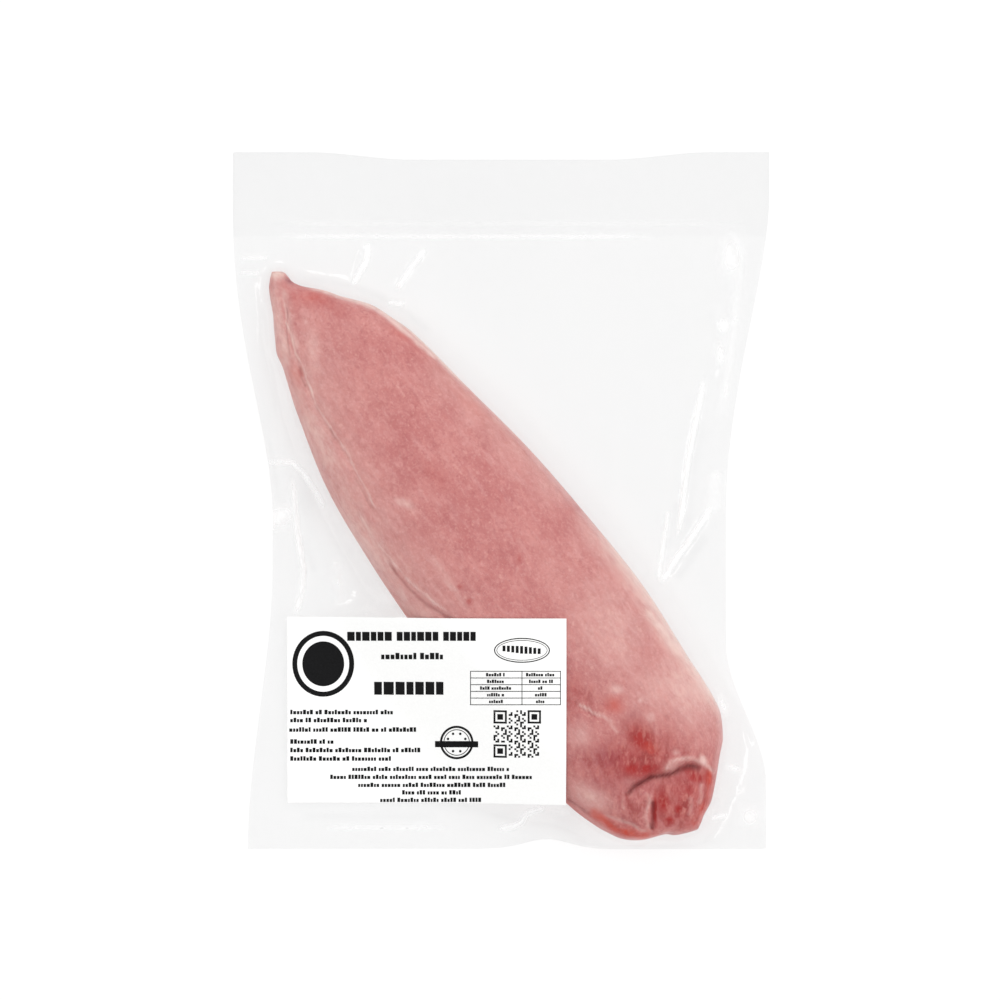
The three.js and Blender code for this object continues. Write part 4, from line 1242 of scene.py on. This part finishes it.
# The violet and the darkest colours are painted shade; the cream one is fat, plus painted glare down the right
# edge.
FIELD_COLOURS = [
    ('violet_shade', (162, 88, 96)), ('red', (178, 38, 36)), ('orange', (210, 66, 42)), ('fat_and_glare', (250, 228, 217)),
    ('pale', (246, 208, 200)), ('crease_shade', (116, 8, 12))]
CUT_LAYERS = [
    ((360, 150, 260), 2, 0.46, 0.62, 0.7, (156, 46, 46)),
    ((420, 160, 300), 2, 0.53, 0.68, 0.6, (222, 142, 132)),
    ((700, 420, 600), 3, 0.5, 0.68, 0.45, (172, 60, 58)),
    ((760, 480, 600), 2, 0.57, 0.76, 0.34, (234, 160, 150))]
veins = pork.noise(pork.pattern((170, 420, 300), FIBRE_TURN), 4, 0.65, 0.3, 0.62)
BROKEN = dict(pale=0.55, fat_and_glare=0.5, red=0.15, crease_shade=0.2)  # how far the veins break up each field
for name, colour in FIELD_COLOURS:
    broken = pork.scaled(pork.field(name), veins)
    facts = {"Factor": BROKEN.get(name, 0.3), "A": pork.field(name), "B": broken}
    share = pork.add("ShaderNodeMix", facts, data_type="FLOAT").outputs["Result"]
    if name == "fat_and_glare":  # the cut fibres' own mottling lies under the fat and glare, the veils and the painted shade in the folds
        pork_colour = layered(pork, pork_colour, CUT_LAYERS, 0.6, within="cut")
    pork_colour = pork.mix(share, pork_colour, pork_paint(colour))
sheen = pork.between(pork.noise(pork.pattern((200, 400, 300), FIBRE_TURN)), 0.42, 0.6)
along_grain = pork.noise(pork.pattern((60, 520, 400), FIBRE_TURN), 3, 0.6, 0.2, 0.8)
grain = pork.maths("ADD", along_grain, pork.noise(pork.pattern((330, 450, 400)), 3, 0.6, 0.2, 0.8))
pork.feed(Base_Color=pork_colour, Roughness=sheen, Normal=pork.bump(grain, 0.2, 0.00025))
pork.set(Specular_IOR_Level=0.16, Subsurface_Weight=0.14, Subsurface_Radius=(1.0, 0.35, 0.25),
         Subsurface_Scale=0.0015)
meat.data.materials.append(pork.material)
print("raw pork has", len(pork.tree.nodes), "nodes")

# %% Pouch film
# The darker tint is doubled film and painted shade beside the meat and its folds.
SINGLE_TINT, DOUBLED_AND_SHADED_TINT = (0.957, 0.957, 0.957, 1), (0.905, 0.906, 0.907, 1)
HEAD_ON, HEAD_ON_WET, GRAZING = 0.045, 0.015, 0.85  # the share mirrored, loose, on wet meat, and at a slant
MILKY_GLINT_SHARE = 0.8                                   # how white a painted glint on a fold gets
pouch = Finish("clear pouch film")
pouch.tree.nodes.remove(pouch.shader)
tint = pouch.mix(pouch.field("doubled_and_shaded"), SINGLE_TINT, DOUBLED_AND_SHADED_TINT)
clear = pouch.add("ShaderNodeBsdfTransparent", {"Color": tint}).outputs["BSDF"]
dimples = pouch.bump(pouch.noise(pouch.pattern((260, 200, 200)), 3, 0.5, 0.2, 0.8), 0.25, 0.0003)
loose_rough = pouch.between(pouch.noise(pouch.pattern((40, 40, 40))), 0.08, 0.15)
film_rough = pouch.maths("MULTIPLY_ADD", pouch.field("cling"), 0.4, loose_rough)
facts = {"Color": (1, 1, 1, 1), "Roughness": film_rough, "Normal": dimples}
gloss = pouch.add("ShaderNodeBsdfGlossy", facts).outputs["BSDF"]
facing = pouch.add("ShaderNodeLayerWeight", {"Blend": 0.5, "Normal": dimples}).outputs["Facing"]
slant = pouch.maths("POWER", facing, 5.0)
least = pouch.maths("MULTIPLY_ADD", pouch.field("cling"), HEAD_ON_WET - HEAD_ON, HEAD_ON)
mirrored = pouch.maths("MULTIPLY_ADD", slant, GRAZING, least, clamp=True)
# A matt white layer paints the glints on the folds and welds.
milky_glint = pouch.add("ShaderNodeBsdfDiffuse", {"Color": (0.99, 0.99, 0.99, 1)}).outputs["BSDF"]
glint_share = pouch.scaled(pouch.field("whitened_and_glint"), MILKY_GLINT_SHARE)
pouch.link(pouch.blend(glint_share, pouch.blend(mirrored, clear, gloss), milky_glint), pouch.output.inputs["Surface"])
film.data.materials.append(pouch.material)

# %% Paper and ink
paper = Finish("label paper")
fleck = paper.noise(paper.pattern((900, 900, 900)), 4, 0.6, 0.3, 0.7)
paper.feed(Base_Color=paper.mix(fleck, paint(251, 251, 250), paint(255, 255, 254)),
           Roughness=paper.between(paper.noise(paper.pattern((300, 300, 300))), 0.5, 0.62),
           Normal=paper.bump(paper.noise(paper.pattern((2400, 2400, 2400)), 3), 0.12, 0.00005))
label.data.materials.append(paper.material)
ink = Finish("printing ink")
uneven_ink = ink.noise(ink.pattern((1500, 1500, 1500)), 3, 0.6, 0.3, 0.75)
ink.feed(Base_Color=ink.mix(uneven_ink, paint(6, 6, 7), paint(20, 20, 22)))
ink.set(Roughness=0.7, Specular_IOR_Level=0.15)
label_rings.data.materials.append(ink.material)
print("finishes:", [finish.material.name for finish in (pork, pouch, paper, ink)])

# %% [markdown]
# ## Join the pieces to the part
# Every piece moves with the part's one body. The meat and the film together stand for the imported solid,
# and the fine paper sheet stands for the plain one.

# %% Bodies, and what stands for what; the slot names are only listed
SLOTS = ((meat, "raw_meat"), (film, "pouch_film"), (label, "label_paper"), (label_marks, "label_ink"),
         (label_rings, "label_ink"))
for piece, slot_name in SLOTS:
    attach(piece, "root")
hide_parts("tenderloin_in_pouch")
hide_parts("tenderloin_in_pouch")
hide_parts("label")

# %% [markdown]
# ## Studio
# The pack lies on a white light table in a soft, even surround, which is a little brighter overhead and
# towards the upper right. Five low strips of light stand round it and glint on the wrinkles, beside the
# glints painted milky white on the folds. The camera looks straight down from 2.5 m through a long lens,
# as in a product picture.

# %% Table
TABLE_HALF = 4.0    # metres
TABLE_GLOW = 0.735  # it glows, so the floor stays white round and under the film
table_corners = np.array([[-1, -1, 0], [1, -1, 0], [1, 1, 0], [-1, 1, 0]]) * TABLE_HALF / METRE
table = new_piece("table", table_corners, [[0, 1, 2, 3]], smooth_faces=False)
white = Finish("white light table")
uneven_white = white.noise(white.pattern((3, 3, 3)))
white.feed(Base_Color=white.mix(uneven_white, (0.26, 0.26, 0.26, 1), (0.27, 0.27, 0.27, 1)))
white.set(Roughness=0.9, Specular_IOR_Level=0.0, Emission_Color=(1, 1, 1, 1), Emission_Strength=TABLE_GLOW)
table.data.materials.append(white.material)
table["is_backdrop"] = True

# %% Light
SKY_TOP, SKY_EDGE, STRIP_RADIANCE = 1.12, 0.72, 2.6
SKY_LEAN = (0.22, 0.18, 0.0)  # more light from the upper right
world = bpy.data.worlds.new("studio")
bpy.context.scene.world = world
world.use_nodes = True
sky = world.node_tree
up = sky.nodes.new("ShaderNodeSeparateXYZ")
sky.links.new(sky.nodes.new("ShaderNodeTexCoord").outputs["Generated"], up.inputs["Vector"])
fade = sky.nodes.new("ShaderNodeMapRange")
fade.interpolation_type = "SMOOTHSTEP"
sky.links.new(up.outputs["Z"], fade.inputs["Value"])
for name, value in (("From Min", 0.0), ("From Max", 0.6), ("To Min", SKY_EDGE), ("To Max", SKY_TOP)):
    fade.inputs[name].default_value = value
lean = sky.nodes.new("ShaderNodeVectorMath")
lean.operation = "DOT_PRODUCT"
sky.links.new(sky.nodes["Texture Coordinate"].outputs["Generated"], lean.inputs[0])
lean.inputs[1].default_value = SKY_LEAN
strength = sky.nodes.new("ShaderNodeMath")
sky.links.new(fade.outputs["Result"], strength.inputs[0])
sky.links.new(lean.outputs["Value"], strength.inputs[1])
sky.links.new(strength.outputs["Value"], sky.nodes["Background"].inputs["Strength"])
sky.nodes["Background"].inputs["Color"].default_value = (1, 1, 1, 1)


def softbox(name, place, width, height, power):
    lamp = bpy.data.lights.new(name, "AREA")
    lamp.shape, lamp.size, lamp.size_y, lamp.energy = "RECTANGLE", width, height, power
    holder = bpy.data.objects.new(name, lamp)
    bpy.context.scene.collection.objects.link(holder)
    holder.location = place
    holder.rotation_mode = "QUATERNION"
    holder.rotation_quaternion = (-holder.location).to_track_quat("-Z", "Y")
    return holder


STRIP_TALL, STRIP_WIDE, STRIP_AWAY, STRIP_UP = 0.34, 0.42, 1.5, 0.8
STRIP_TURNS = (345, 321, 166, 141, 95)  # degrees round the pack
for k, turn in enumerate(STRIP_TURNS):
    a = math.radians(turn)
    softbox(f"strip {k + 1}", (STRIP_AWAY * math.cos(a), STRIP_AWAY * math.sin(a), STRIP_UP),
            STRIP_WIDE, STRIP_TALL, STRIP_RADIANCE * math.pi * STRIP_TALL * STRIP_WIDE)

# %% Camera
CAMERA_HEIGHT, LENS, SENSOR = CAMERA_ABOVE * METRE, 209.0, 36.0
lens = bpy.data.cameras.new("camera")
lens.lens, lens.sensor_width, lens.clip_start, lens.clip_end = LENS, SENSOR, 0.1, 20.0
camera = bpy.data.objects.new("camera", lens)
bpy.context.scene.collection.objects.link(camera)
over_x, over_y = spot([(500.0, 500.0)])[0] * METRE  # the middle of the picture
camera.location = (over_x, over_y, CAMERA_HEIGHT)
bpy.context.scene.camera = camera
look = bpy.context.scene.view_settings
look.view_transform, look.look, look.exposure, look.gamma = "Standard", "None", 0.0, 1.0
print("picture width on the table, mm:", round(SENSOR / LENS * CAMERA_HEIGHT / METRE, 1))

# %% Sizes, and the end
now_low, now_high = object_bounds()
sizes_seen = {"cad": [list(cad_low), list(cad_high)], "visual": [list(now_low), list(now_high)]}
for name, (low, high) in sizes_seen.items():
    print(name, "size, mm:", [round((b - a) / METRE, 1) for a, b in zip(low, high)])
